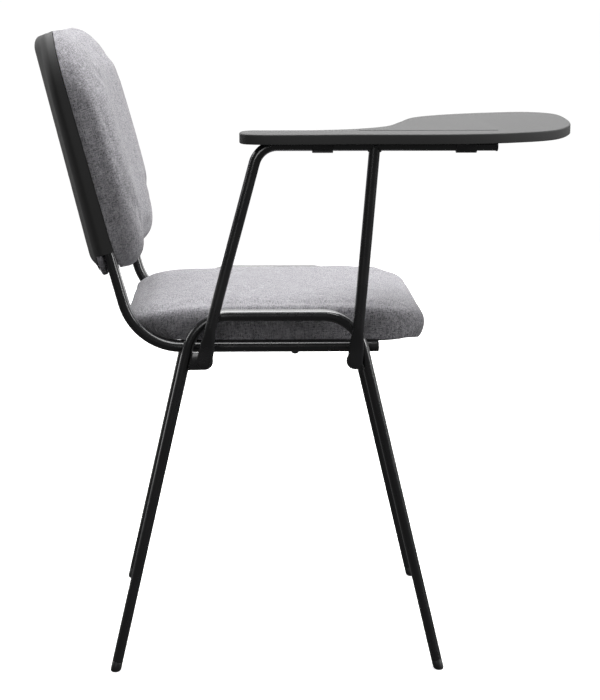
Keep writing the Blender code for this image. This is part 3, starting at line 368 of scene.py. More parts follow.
def bent_path(corners, radii):
    """(point, tangent) pairs along straight runs joined by round bends."""
    points = [Vector(corner) for corner in corners]
    path = [(points[0], (points[1] - points[0]).normalized())]
    for i, radius in enumerate(radii, start=1):
        path += bend(points[i - 1], points[i], points[i + 1], radius)
    path.append((points[-1], (points[-1] - points[-2]).normalized()))
    return path


def bend(before, corner, after, radius):
    into = (corner - before).normalized()
    out = (after - corner).normalized()
    turn = into.angle(out)
    centre = corner + (out - into).normalized() * (radius / math.cos(turn / 2))
    start = corner - into * (radius * math.tan(turn / 2)) - centre
    axis = into.cross(out).normalized()
    steps = max(3, round(BEND_STEPS * turn / math.radians(75)))
    found = []
    for i in range(steps + 1):
        turned = Matrix.Rotation(turn * i / steps, 3, axis)
        found.append((centre + turned @ start, turned @ into))
    return found


def oval_tube(path):
    """Flat-oval tube: an outer skin with a little wall turned in at each open end."""
    rings = [oval_ring(*station(p, t, OVAL_WIDTH / 2, OVAL_DEPTH / 2)) for p, t in path]
    inner = [(OVAL_WIDTH / 2 - OVAL_WALL, OVAL_DEPTH / 2 - OVAL_WALL)]
    (first, first_way), (last, last_way) = path[0], path[-1]
    head = [oval_ring(*station(first + first_way * deep, first_way, *inner[0])) for deep in (0.02, 0.0)]
    tail = [oval_ring(*station(last - last_way * deep, last_way, *inner[0])) for deep in (0.0, 0.02)]
    return loft(head + rings + tail)


def turned(start, axis, profile, points=32):
    """A round shape from (distance along the axis, radius) pairs."""
    start = Vector(start)
    axis = Vector(axis).normalized()
    side = axis.orthogonal().normalized()
    across = axis.cross(side)
    loops = []
    for along, radius in profile:
        centre = start + axis * along
        if radius == 0:
            loops.append([centre])
            continue
        turns = [math.tau * i / points for i in range(points)]
        loops.append([centre + radius * (side * math.cos(a) + across * math.sin(a)) for a in turns])
    return loft(loops)


def block(low, high):
    shape = bmesh.new()
    size = Vector(high) - Vector(low)
    centre = (Vector(high) + Vector(low)) / 2
    bmesh.ops.create_cube(shape, size=1.0, matrix=Matrix.Translation(centre) @ Matrix.Diagonal((*size, 1.0)))
    return shape


def rounded_rectangle(half_x, low, high, low_radius, high_radius, corner=14, across=40, up=26):
    """(x, y) points round a rectangle with round corners."""
    corners = (
        (half_x - low_radius, low + low_radius, low_radius, -90),
        (half_x - high_radius, high - high_radius, high_radius, 0),
        (high_radius - half_x, high - high_radius, high_radius, 90),
        (low_radius - half_x, low + low_radius, low_radius, 180),
    )
    arcs = []
    for x, y, radius, start in corners:
        turns = [math.radians(start + 90 * i / corner) for i in range(corner + 1)]
        arcs.append([(x + radius * math.cos(a), y + radius * math.sin(a)) for a in turns])
    loop = []
    for i, arc in enumerate(arcs):
        loop += arc
        ahead = arcs[(i + 1) % 4][0]
        divisions = up if i % 2 == 0 else across
        for step in range(1, divisions):
            share = step / divisions
            loop.append(tuple(a + share * (b - a) for a, b in zip(arc[-1], ahead)))
    return loop


def round_inset(height, radius_in, radius_up):
    """How far an elliptical edge has drawn in where it is this far from the face it rounds into."""
    if height >= radius_up:
        return 0.0
    share = 1 - max(height, 0.0) / radius_up
    return radius_in * (1 - math.sqrt(1 - share * share))


def smooth_outline(points, steps):
    """A closed curve through the points, by centripetal Catmull-Rom spans."""
    count = len(points)
    outline = []
    for i in range(count):
        p = [Vector(points[(i + k) % count]) for k in (-1, 0, 1, 2)]
        knots = [0.0]
        for a, b in zip(p, p[1:]):
            knots.append(knots[-1] + math.sqrt((b - a).length))
        for step in range(steps):
            outline.append(catmull_rom(p, knots, knots[1] + (knots[2] - knots[1]) * step / steps))
    return outline


def catmull_rom(p, knots, t):
    rows = list(p)
    for level in (1, 2):
        spread = [(knots[i], knots[i + level]) for i in range(len(rows) - 1)]
        rows = [a.lerp(b, (t - k0) / (k1 - k0)) for (a, b), (k0, k1) in zip(zip(rows, rows[1:]), spread)]
    return rows[0].lerp(rows[1], (t - knots[1]) / (knots[2] - knots[1]))


def inset_outline(outline, distance):
    count = len(outline)
    moved = []
    for i in range(count):
        along = (outline[(i + 1) % count] - outline[i - 1]).normalized()
        moved.append(outline[i] + Vector((-along.y, along.x)) * distance)
    return moved


# Materials.


class Recipe:
    """A short way to write a node tree for one material."""

    def __init__(self, name):
        self.material = bpy.data.materials.new(name)
        self.material.use_nodes = True
        self.tree = self.material.node_tree
        self.shader = self.tree.nodes["Principled BSDF"]

    def node(self, kind, **settings):
        made = self.tree.nodes.new(kind)
        for key, value in settings.items():
            if key in made.bl_rna.properties:
                setattr(made, key, value)
            else:
                self.feed(made.inputs[key], value)
        return made

    def feed(self, socket, value):
        if isinstance(value, bpy.types.NodeSocket):
            self.tree.links.new(value, socket)
        else:
            socket.default_value = value

    def math(self, operation, *values):
        made = self.tree.nodes.new("ShaderNodeMath")
        made.operation = operation
        for socket, value in zip(made.inputs, values):
            self.feed(socket, value)
        return made.outputs[0]

    def noise(self, where, scale, detail=3.0, roughness=0.5, distortion=0.0):
        made = self.node("ShaderNodeTexNoise", Scale=scale, Detail=detail, Roughness=roughness)
        made.inputs["Distortion"].default_value = distortion
        self.feed(made.inputs["Vector"], where)
        return made.outputs["Fac"]

    def spread(self, value, low, high, start=0.0, end=1.0):
        made = self.tree.nodes.new("ShaderNodeMapRange")
        self.feed(made.inputs["Value"], value)
        for key, number in (("From Min", start), ("From Max", end), ("To Min", low), ("To Max", high)):
            made.inputs[key].default_value = number
        return made.outputs[0]

    def blend(self, share, first, second):
        made = self.tree.nodes.new("ShaderNodeMix")
        made.data_type = "RGBA"
        self.feed(made.inputs[0], share)
        self.feed(made.inputs[6], first)
        self.feed(made.inputs[7], second)
        return made.outputs[2]

    def stretched(self, where, scale):
        made = self.tree.nodes.new("ShaderNodeMapping")
        self.feed(made.inputs["Vector"], where)
        made.inputs["Scale"].default_value = scale
        return made.outputs[0]

    def place(self):
        return self.tree.nodes.new("ShaderNodeTexCoord").outputs["Object"]

    def bump(self, height, strength, distance, under=None):
        made = self.node("ShaderNodeBump", Strength=strength, Distance=distance)
        self.feed(made.inputs["Height"], height)
        if under:
            self.feed(made.inputs["Normal"], under)
        return made.outputs["Normal"]

    def set(self, **values):
        for key, value in values.items():
            self.feed(self.shader.inputs[key.replace("_", " ")], value)


def tint(colour, share=1.0):
    """The colour made lighter or darker, with its alpha."""
    return (colour[0] * share, colour[1] * share, colour[2] * share, 1.0)


def looks():
    """The settings in the sidebar's panel."""
    return bpy.context.scene.chair_looks


def made_once(name, make):
    """The material of this name, made the first time it is asked for."""
    return bpy.data.materials.get(name) or make(name)


def powder_coat():
    """Satin black powder coat: a faint orange peel, uneven gloss and a little dust."""

    def make(name):
        r = Recipe(name)
        where = r.place()
        colour = tuple(looks().steel_colour)
        peel = r.noise(where, 520.0, 2.0, 0.45)
        cloud = r.noise(where, 24.0, 4.0, 0.6)
        dust = r.noise(where, 1900.0, 2.0, 0.7)
        shade = r.blend(r.spread(dust, 0.0, 0.15, 0.62, 0.85), tint(colour), tint(colour, 2.2))
        gloss = r.spread(cloud, 0.20, 0.33, 0.3, 0.7)
        r.set(Base_Color=shade, Roughness=gloss, Normal=r.bump(peel, 0.05, 0.0002))
        r.set(Metallic=0.0, Coat_Weight=0.6, Coat_Roughness=0.10, IOR=1.52)
        return r.material

    return made_once("powder_coat", make)


def moulded(name, colour, roughness, cell, depth):
    """Moulded plastic with a stippled grain."""

    def make(name):
        r = Recipe(name)
        where = r.place()
        grain = r.noise(where, cell, 2.0, 0.6)
        cloud = r.noise(where, 30.0, 3.0, 0.6)
        shade = r.blend(r.spread(cloud, 0.0, 1.0, 0.35, 0.7), tint(colour, 0.85), tint(colour, 1.2))
        r.set(Base_Color=shade, Roughness=r.spread(cloud, roughness - 0.06, roughness + 0.07, 0.3, 0.7))
        r.set(Normal=r.bump(grain, 0.25, depth))
        return r.material

    return made_once(name, make)


def foot_plastic():
    return moulded("foot_plastic", (0.020, 0.020, 0.021), 0.42, 1800.0, 0.0003)


def shell_plastic():
    """Charcoal plastic with the leather-like grain of the back shell."""

    def make(name):
        r = Recipe(name)
        where = r.place()
        colour = tuple(looks().shell_colour)
        bent = r.tree.nodes.new("ShaderNodeVectorMath")
        bent.operation = "MULTIPLY_ADD"
        wander = r.node("ShaderNodeTexNoise", Scale=160.0, Detail=2.0)
        r.feed(wander.inputs["Vector"], where)
        r.feed(bent.inputs[0], wander.outputs["Color"])
        bent.inputs[1].default_value = (0.0022, 0.0022, 0.0022)
        r.feed(bent.inputs[2], where)
        cells = r.node("ShaderNodeTexVoronoi", feature="DISTANCE_TO_EDGE", Scale=620.0)
        r.feed(cells.inputs["Vector"], bent.outputs[0])
        grain = r.spread(cells.outputs["Distance"], 0.0, 1.0, 0.0, 0.22)
        cloud = r.noise(where, 14.0, 4.0, 0.6)
        shade = r.blend(grain, tint(colour, 0.75), tint(colour, 1.25))
        gloss = r.spread(cloud, 0.36, 0.48, 0.3, 0.7)
        r.set(Base_Color=shade, Roughness=gloss, Normal=r.bump(grain, 0.35, 0.0003))
        return r.material

    return made_once("shell_plastic", make)


def tablet_plastic():
    """Charcoal plastic with a fine stipple, and light scuffs where papers slide on the top."""

    def make(name):
        r = Recipe(name)
        where = r.place()
        colour = tuple(looks().tablet_colour)
        stipple = r.noise(where, 1500.0, 2.0, 0.6)
        cloud = r.noise(where, 11.0, 4.0, 0.6)
        along = r.noise(r.stretched(where, (900.0, 18.0, 60.0)), 1.0, 3.0, 0.7)
        slanted = r.noise(r.stretched(where, (30.0, 700.0, 60.0)), 1.0, 3.0, 0.7)
        long_scuff = r.spread(along, 0.0, 1.0, 0.66, 0.76)
        cross_scuff = r.spread(slanted, 0.0, 1.0, 0.68, 0.78)
        scuff = r.math("MAXIMUM", long_scuff, cross_scuff)
        shade = r.blend(r.math("MULTIPLY", scuff, 0.22), tint(colour), tint(colour, 3.0))
        gloss = r.math("ADD", r.spread(cloud, 0.11, 0.17, 0.3, 0.7), r.math("MULTIPLY", scuff, 0.10))
        r.set(Base_Color=shade, Roughness=gloss, Normal=r.bump(stipple, 0.10, 0.0002))
        return r.material

    return made_once("tablet_plastic", make)


def zinc():
    """Bright zinc plate, a little cloudy."""

    def make(name):
        r = Recipe(name)
        where = r.place()
        cloud = r.noise(where, 300.0, 4.0, 0.6)
        shade = r.blend(cloud, (0.50, 0.52, 0.55, 1.0), (0.72, 0.72, 0.70, 1.0))
        r.set(Base_Color=shade, Metallic=1.0, Roughness=r.spread(cloud, 0.24, 0.42, 0.3, 0.7))
        r.set(Normal=r.bump(cloud, 0.15, 0.0002))
        return r.material

    return made_once("zinc_plate", make)


def plywood():
    """Pale plywood with its figure along x and small dark pores."""

    def make(name):
        r = Recipe(name)
        where = r.place()
        figure = r.noise(r.stretched(where, (6.0, 90.0, 90.0)), 1.0, 4.0, 0.6, 0.6)
        pores = r.noise(r.stretched(where, (40.0, 900.0, 900.0)), 1.0, 2.0, 0.6)
        shade = r.blend(figure, (0.42, 0.27, 0.14, 1.0), (0.66, 0.49, 0.31, 1.0))
        shade = r.blend(r.spread(pores, 0.5, 0.0, 0.35, 0.5), shade, (0.25, 0.15, 0.08, 1.0))
        r.set(Base_Color=shade, Roughness=0.66, Normal=r.bump(pores, 0.2, 0.0003))
        return r.material

    return made_once("plywood", make)


def grey_weave():
    """Grey heather cloth: a plain weave whose yarns are spun from light and dark fibres, with painted shade
    in the hollows between the yarns.
    """

    def make(name):
        r = Recipe(name)
        pick = looks()
        pitch = pick.yarn_pitch
        uv = r.node("ShaderNodeUVMap", uv_map="weave").outputs[0]
        where = r.place()
        apart = r.tree.nodes.new("ShaderNodeSeparateXYZ")
        r.feed(apart.inputs[0], uv)
        u = r.math("DIVIDE", apart.outputs[0], pitch)
        v = r.math("DIVIDE", apart.outputs[1], pitch)
        over = r.math("FLOORED_MODULO", r.math("ADD", r.math("FLOOR", u), r.math("FLOOR", v)), 2.0)
        under = r.math("SUBTRACT", 1.0, over)
        hump_u = r.math("SINE", r.math("MULTIPLY", r.math("FRACT", u), math.pi))
        hump_v = r.math("SINE", r.math("MULTIPLY", r.math("FRACT", v), math.pi))
        warp = r.math("MULTIPLY", hump_u, r.math("MULTIPLY_ADD", hump_v, 0.6, 0.4))
        weft = r.math("MULTIPLY", hump_v, r.math("MULTIPLY_ADD", hump_u, 0.6, 0.4))
        height = r.math("ADD", r.math("MULTIPLY", warp, over), r.math("MULTIPLY", weft, under))
        warp_tone = r.noise(r.stretched(uv, (0.9 / pitch, 0.12 / pitch, 1.0)), 1.0, 2.0, 0.6)
        weft_tone = r.noise(r.stretched(uv, (0.12 / pitch, 0.9 / pitch, 1.0)), 1.0, 2.0, 0.6)
        yarn = r.math("ADD", r.math("MULTIPLY", warp_tone, over), r.math("MULTIPLY", weft_tone, under))
        fleck = r.noise(where, 420.0, 4.0, 0.75)
        cloud = r.noise(where, 60.0, 3.0, 0.6)
        tone = r.math("ADD", r.math("MULTIPLY", yarn, 0.50), r.math("MULTIPLY", fleck, 0.42))
        tone = r.math("ADD", tone, r.math("MULTIPLY", cloud, 0.08))
        share = r.spread(tone, 0.0, 1.0, 0.39, 0.63)
        shade = r.blend(share, tint(pick.dark_fibre), tint(pick.light_fibre))
        # Painted shade: where the weave is low, in the hollows between yarns, the colour is drawn towards
        # half the dark fibre.
        shade = r.blend(r.spread(height, 0.45, 0.0, 0.15, 0.75), shade, tint(pick.dark_fibre, 0.5))
        fuzz = r.noise(where, 2600.0, 3.0, 0.7)
        lumps = r.bump(fuzz, 0.35, 0.0004)
        r.set(Base_Color=shade, Roughness=0.92, Normal=r.bump(height, 0.55, 0.0004, lumps))
        r.set(Sheen_Weight=0.22, Sheen_Roughness=0.45, Specular_IOR_Level=0.25)
        return r.material

    return made_once("grey_weave", make)


def paint_node(name, material):
    """Gives one of the part's own nodes a material, for a piece that is good enough as it is."""
    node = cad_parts[name]
    node.data.materials.clear()
    node.data.materials.append(material)


# Geometry Nodes.


def new_group(name, sockets):
    """An empty node group with these inputs and one Geometry output."""
    tree = bpy.data.node_groups.new(name, "GeometryNodeTree")
    for label, kind in sockets:
        tree.interface.new_socket(label, in_out="INPUT", socket_type=kind)
    tree.interface.new_socket("Geometry", in_out="OUTPUT", socket_type="NodeSocketGeometry")
    start = tree.nodes.new("NodeGroupInput")
    end = tree.nodes.new("NodeGroupOutput")
    return tree, start, end


def add_node(tree, kind, links=(), **settings):
    """One node with its settings, and links from other nodes' outputs into its inputs."""
    made = tree.nodes.new(kind)
    for key, value in settings.items():
        if key in made.bl_rna.properties:
            setattr(made, key, value)
        else:
            made.inputs[key].default_value = value
    for key, socket in links:
        tree.links.new(socket, made.inputs[key])
    return made


def bead_group():
    """Weld beads along the edges of a mesh: small overlapping scales, a little uneven."""
    found = bpy.data.node_groups.get("weld_beads")
    if found:
        return found
    sockets = (
        ("Paths", "NodeSocketGeometry"),
        ("Spacing", "NodeSocketFloat"),
        ("Radius", "NodeSocketFloat"),
        ("Seed", "NodeSocketInt"),
        ("Material", "NodeSocketMaterial"),
    )
    tree, start, end = new_group("weld_beads", sockets)
    curve = add_node(tree, "GeometryNodeMeshToCurve", [("Mesh", start.outputs["Paths"])])
    links = [("Curve", curve.outputs[0]), ("Length", start.outputs["Spacing"])]
    even = add_node(tree, "GeometryNodeResampleCurve", links, mode="LENGTH")
    along = add_node(tree, "GeometryNodeInputTangent")
    aim = add_node(tree, "FunctionNodeAlignRotationToVector", [("Vector", along.outputs[0])], axis="Z")
    scale = add_node(tree, "ShaderNodeMapRange")
    wobble = add_node(tree, "FunctionNodeRandomValue", [("Seed", start.outputs["Seed"])])
    tree.links.new(wobble.outputs[1], scale.inputs["Value"])
    scale.inputs["To Min"].default_value = 0.78
    scale.inputs["To Max"].default_value = 1.18
    links = [(0, scale.outputs[0]), (1, start.outputs["Radius"])]
    size = add_node(tree, "ShaderNodeMath", links, operation="MULTIPLY")
    flat = add_node(tree, "ShaderNodeMath", [(0, size.outputs[0])], operation="MULTIPLY")
    flat.inputs[1].default_value = 0.62
    links = [("X", size.outputs[0]), ("Y", size.outputs[0]), ("Z", flat.outputs[0])]
    shape = add_node(tree, "ShaderNodeCombineXYZ", links)
    scale_mesh = add_node(tree, "GeometryNodeMeshUVSphere", Segments=10, Rings=6, Radius=1.0)
    links = [
        ("Points", even.outputs[0]),
        ("Instance", scale_mesh.outputs[0]),
        ("Rotation", aim.outputs[0]),
        ("Scale", shape.outputs[0]),
    ]
    placed = add_node(tree, "GeometryNodeInstanceOnPoints", links)
    real = add_node(tree, "GeometryNodeRealizeInstances", [("Geometry", placed.outputs[0])])
    smooth = add_node(tree, "GeometryNodeSetShadeSmooth", [("Geometry", real.outputs[0])])
    links = [("Geometry", smooth.outputs[0]), ("Material", start.outputs["Material"])]
    painted = add_node(tree, "GeometryNodeSetMaterial", links)
    tree.links.new(painted.outputs[0], end.inputs[0])
    return tree


def copies_group():
    """Copies of one object at points, each turned so that its +Z follows the point's own direction."""
    found = bpy.data.node_groups.get("copies_on_points")
    if found:
        return found
    sockets = (
        ("Points", "NodeSocketGeometry"),
        ("Copy Of", "NodeSocketObject"),
        ("Turn Seed", "NodeSocketInt"),
        ("Material", "NodeSocketMaterial"),
    )
    tree, start, end = new_group("copies_on_points", sockets)
    points = add_node(tree, "GeometryNodeMeshToPoints", [("Mesh", start.outputs["Points"])])
    facing = add_node(tree, "GeometryNodeInputNamedAttribute", data_type="FLOAT_VECTOR")
    facing.inputs["Name"].default_value = "facing"
    aim = add_node(tree, "FunctionNodeAlignRotationToVector", [("Vector", facing.outputs[0])], axis="Z")
    spin = add_node(tree, "FunctionNodeRandomValue", [("Seed", start.outputs["Turn Seed"])])
    spin.inputs[3].default_value = math.tau
    about = add_node(tree, "ShaderNodeCombineXYZ", [("Z", spin.outputs[1])])
    turn = add_node(tree, "FunctionNodeRotateRotation", [(0, aim.outputs[0]), (1, about.outputs[0])])
    turn.rotation_space = "LOCAL"
    copy = add_node(tree, "GeometryNodeObjectInfo", [("Object", start.outputs["Copy Of"])])
    copy.transform_space = "ORIGINAL"
    links = [
        ("Points", points.outputs[0]),
        ("Instance", copy.outputs["Geometry"]),
        ("Rotation", turn.outputs[0]),
    ]
    placed = add_node(tree, "GeometryNodeInstanceOnPoints", links)
    real = add_node(tree, "GeometryNodeRealizeInstances", [("Geometry", placed.outputs[0])])
    links = [("Geometry", real.outputs[0]), ("Material", start.outputs["Material"])]
    painted = add_node(tree, "GeometryNodeSetMaterial", links)
    tree.links.new(painted.outputs[0], end.inputs[0])
    return tree


def run_group(obj, tree, values):
    """Runs a node group on the object, with its inputs given by name, and keeps the result as plain mesh."""
    modifier = obj.modifiers.new(tree.name, "NODES")
    modifier.node_group = tree
    for item in tree.interface.items_tree:
        if item.item_type == "SOCKET" and item.in_out == "INPUT" and item.name in values:
            modifier[item.identifier] = values[item.name]
    obj.update_tag()
    bpy.context.view_layer.update()
    settle(obj)


def weld(name, paths):
    """One object of weld beads along polylines drawn about the chair's middle."""
    shape = bmesh.new()
    for path in paths:
        points = [shape.verts.new(Vector(point) + MIDDLE) for point in path]
        for a, b in zip(points, points[1:]):
            shape.edges.new((a, b))
    mesh = bpy.data.meshes.new(name)
    shape.to_mesh(mesh)
    shape.free()
    obj = bpy.data.objects.new(name, mesh)
    bpy.context.scene.collection.objects.link(obj)
    pick = looks()
    values = {"Spacing": pick.weld_spacing, "Radius": pick.weld_radius, "Seed": pick.seed}
    values["Material"] = powder_coat()
    run_group(obj, bead_group(), values)
    return finish_piece(obj, "frame", "frame_black_steel", powder_coat())


def copies(name, pattern, places, material):
    """One object of copies of a pattern, from (point, direction) pairs."""
    mesh = bpy.data.meshes.new(name)
    mesh.from_pydata([tuple(point) for point, _ in places], [], [])
    facing = mesh.attributes.new("facing", "FLOAT_VECTOR", "POINT")
    for i, (_, way) in enumerate(places):
        facing.data[i].vector = way
    obj = bpy.data.objects.new(name, mesh)
    bpy.context.scene.collection.objects.link(obj)
    run_group(obj, copies_group(), {"Copy Of": pattern, "Turn Seed": looks().seed, "Material": material})
    bpy.data.objects.remove(pattern, do_unlink=True)
    return obj


def screw_pattern(head, shank, head_height, length, cross):
    """A pan-head screw about the origin, its shank along -Z, with a cross or a hexagonal recess."""
    count = 48

    def circle(radius, z):
        return [Vector((radius * math.cos(a), radius * math.sin(a), z)) for a in turns]

    def recess(width, z):
        points = []
        for angle in turns:
            reach = cross_reach(angle, width) if cross else hexagon_reach(angle, width)
            points.append(Vector((reach * math.cos(angle), reach * math.sin(angle), z)))
        return points

    turns = [math.tau * (i + 0.5) / count for i in range(count)]
    deep = head_height * 0.62
    loops = [[Vector((0, 0, head_height - deep * 1.25))], recess(head * 0.34, head_height - deep)]
    loops += [recess(head * 0.42, head_height * 0.985), circle(head * 0.66, head_height)]
    for share in (0.15, 0.35, 0.6, 0.85, 1.0):
        turn = share * math.pi / 2
        radius = head * (0.66 + 0.34 * math.sin(turn))
        loops.append(circle(radius, head_height * (0.35 + 0.65 * math.cos(turn))))
    loops += [circle(head, 0.0), circle(shank, 0.0), circle(shank, -length), [Vector((0, 0, -length))]]
    return add_object("screw_pattern", loft(loops, False), 30.0, ORIGIN)


def cross_reach(angle, width):
    """Distance from the middle to the edge of a cross at an angle."""
    local = abs((angle + math.pi / 4) % (math.pi / 2) - math.pi / 4)
    arm = 0.30 * width
    if math.tan(local) < arm / width:
        return width / math.cos(local)
    return arm / math.sin(local)


def hexagon_reach(angle, width):
    """Distance from the middle to the edge of a hexagon at an angle."""
    local = angle % (math.pi / 3) - math.pi / 6
    return width * 0.92 / math.cos(local)


# Frame.


def leg_line(z, front):
    """How far forward or back the middle of a leg is at a height."""
    half = FOOT_SPREAD / 2
    return -half + FRONT_LEG_SLOPE * z if front else half - REAR_LEG_SLOPE * z


def build_leg_frame(side_name, side):
    x = side * LEG_X
    corners = [
        (x, leg_line(FOOT_HEIGHT, False), FOOT_HEIGHT),
        (x, leg_line(ARCH_HEIGHT, False), ARCH_HEIGHT),
        (x, leg_line(ARCH_HEIGHT, True), ARCH_HEIGHT),
        (x, leg_line(FOOT_HEIGHT, True), FOOT_HEIGHT),
    ]
    obj = add_object(f"leg_frame_{side_name}_look", oval_tube(bent_path(corners, (ARCH_BEND, ARCH_BEND))))
    finish_piece(obj, "frame", "frame_black_steel", powder_coat(), f"leg_frame_{side_name}")


def build_rail(side_name, side):
    x = side * RAIL_X
    corners = [
        (x, RAIL_FRONT + 0.003, RAIL_HEIGHT),
        (x, UPRIGHT_FOOT_Y, RAIL_HEIGHT),
        (x, UPRIGHT_FOOT_Y + UPRIGHT_SLOPE * UPRIGHT_TOP_RISE, RAIL_HEIGHT + UPRIGHT_TOP_RISE),
    ]
    obj = add_object(f"back_rail_{side_name}_look", oval_tube(bent_path(corners, (RAIL_BEND,))))
    finish_piece(obj, "frame", "frame_black_steel", powder_coat(), f"back_rail_{side_name}")


def build_crossbar(end, y):
    reach = RAIL_X - OVAL_WIDTH / 2 - GAP
    side = Vector((0.0, 1.0, 0.0))
    across = Vector((0.0, 0.0, 1.0))
    steps = [-reach + 2 * reach * i / 12 for i in range(13)]
    centres = [Vector((x, y, RAIL_HEIGHT)) for x in steps]
    rings = [oval_ring(centre, side, across, OVAL_WIDTH / 2, OVAL_DEPTH / 2) for centre in centres]
    obj = add_object(f"crossbar_{end}_look", loft(rings))
    finish_piece(obj, "frame", "frame_black_steel", powder_coat(), f"crossbar_{end}")


def crossing_welds():
    """Beads where a rail passes the two legs beside it, above and below, and round the crossbars' ends."""
    paths = []
    for _, side in SIDES:
        x = side * (LEG_X - OVAL_WIDTH / 2 - GAP / 2)
        for way in (-1.0, 1.0):
            z = RAIL_HEIGHT + way * (OVAL_DEPTH / 2 - 0.0025)
            drop = way * 0.0012
            for front in (False, True):
                y = leg_line(z, front)
                paths.append([(x, y - 0.0045, z + drop), (x, y, z + drop * 1.4), (x, y + 0.0045, z + drop)])
        inner = side * (RAIL_X - OVAL_WIDTH / 2 - 0.0004)
        for y in CROSSBAR_Y:
            centre = Vector((inner, y, RAIL_HEIGHT))
            ring = oval_ring(centre, Vector((0, 1, 0)), Vector((0, 0, 1)), 0.0148, 0.0066, 24)
            paths.append(ring + ring[:1])
    return paths


class CHAIR_OT_frame(Operator):
    """Build the two leg frames, the two rails with their uprights, the crossbars and the welds"""

    bl_idname = "chair.build_frame"
    bl_label = "Frame Tubes"

    def execute(self, context):
        for side_name, side in SIDES:
            build_leg_frame(side_name, side)
            build_rail(side_name, side)
        for end, y in zip(("front", "rear"), CROSSBAR_Y):
            build_crossbar(end, y)
        weld("frame_welds", crossing_welds())
        return {"FINISHED"}


# Feet, plugs and pads.


def build_foot(name, x, front):
    slope = -FRONT_LEG_SLOPE if front else REAR_LEG_SLOPE
    up = Vector((0.0, -slope, 1.0)).normalized()
    end = Vector((x, leg_line(FOOT_HEIGHT, front), FOOT_HEIGHT)) - up * GAP
    side = Vector((1.0, 0.0, 0.0))
    level = Vector((0.0, -1.0, 0.0))
    square = side.cross(up).normalized()
    stretch = 1 / up.z
    round_size = 0.0042
    half_side = OVAL_WIDTH / 2
    half_across = OVAL_DEPTH / 2
    loops = []
    for i in range(9):
        turn = math.pi / 2 * i / 8
        inset = round_size * (1 - math.sin(turn))
        z = round_size * (1 - math.cos(turn))
        centre = Vector((x, leg_line(z, front), z))
        loops.append(oval_ring(centre, side, level, half_side - inset, (half_across - inset) * stretch))
    seam = end - up * 0.0006
    loops.append(oval_ring(seam, side, square, half_side, half_across))
    loops.append(oval_ring(end, side, square, half_side - 0.0005, half_across - 0.0005))
    stem = OVAL_WALL + 0.0004
    loops.append(oval_ring(end, side, square, half_side - stem, half_across - stem))
    loops.append(oval_ring(end + up * 0.015, side, square, half_side - stem, half_across - stem))
    obj = add_object(f"{name}_look", loft(loops), 40.0)
    finish_piece(obj, "frame", "black_plastic", foot_plastic(), name)


def build_rail_plug(side_name, side):
    back = Vector((0.0, 1.0, 0.0))
    front = Vector((side * RAIL_X, RAIL_FRONT, RAIL_HEIGHT))
    half_side = OVAL_WIDTH / 2
    half_across = OVAL_DEPTH / 2
    loops = []
    for i in range(7):
        turn = math.pi / 2 * i / 6
        inset = 0.0016 * (1 - math.sin(turn))
        deep = 0.0016 * (1 - math.cos(turn))
        loops.append(oval_ring(*station(front + back * deep, back, half_side - inset, half_across - inset)))
    loops.append(oval_ring(*station(front + back * 0.0026, back, half_side, half_across)))
    stem = OVAL_WALL + 0.0004
    loops.append(oval_ring(*station(front + back * 0.0027, back, half_side - stem, half_across - stem)))
    loops.append(oval_ring(*station(front + back * 0.016, back, half_side - stem, half_across - stem)))
    obj = add_object(f"rail_plug_{side_name}_look", loft(loops), 40.0)
    finish_piece(obj, "frame", "black_plastic", foot_plastic(), f"rail_plug_{side_name}")


def build_stack_pad(side_name, side):
    top = (side * RAIL_X, STACK_PAD_Y, RAIL_HEIGHT - OVAL_DEPTH / 2 - GAP)
    radius = 0.0047
    height = 0.0036
    profile = [(-0.004, 0.0), (-0.004, 0.0027), (0.0, 0.0027), (0.0, radius), (0.0008, radius)]
    for i in range(1, 8):
        turn = math.pi / 2 * i / 8
        profile.append((0.0008 + (height - 0.0008) * math.sin(turn), radius * math.cos(turn)))
    profile.append((height, 0.0))
    obj = add_object(f"stack_pad_{side_name}_look", turned(top, (0, 0, -1), profile), 40.0)
    finish_piece(obj, "frame", "black_plastic", foot_plastic(), f"stack_pad_{side_name}")


def build_arm_plug():
    start = (-ARM_X, ARM_RUN_FRONT - GAP, ARM_RUN_HEIGHT)
    flange = ARM_RADIUS + 0.0006
    profile = [(-0.014, 0.0), (-0.014, 0.0054), (0.0, 0.0056)]
    profile += [(0.0, flange - 0.0003), (0.0004, flange), (0.0016, flange)]
    for i in range(1, 6):
        turn = math.pi / 2 * i / 6
        profile.append((0.0016 + 0.0014 * math.sin(turn), flange - 0.0014 * (1 - math.cos(turn))))
    profile.append((0.0030, 0.0))
    obj = add_object("arm_end_plug_look", turned(start, (0, -1, 0), profile), 40.0)
    finish_piece(obj, "frame", "black_plastic", foot_plastic(), "arm_end_plug")


class CHAIR_OT_mouldings(Operator):
    """Build the plastic feet, tube plugs and stacking pads"""

    bl_idname = "chair.build_mouldings"
    bl_label = "Feet, Plugs and Pads"

    def execute(self, context):
        for side_name, side in SIDES:
            for end, front in (("front", True), ("rear", False)):
                build_foot(f"foot_{end}_{side_name}", side * LEG_X, front)
            build_rail_plug(side_name, side)
            build_stack_pad(side_name, side)
        build_arm_plug()
        return {"FINISHED"}


# Tablet arm.


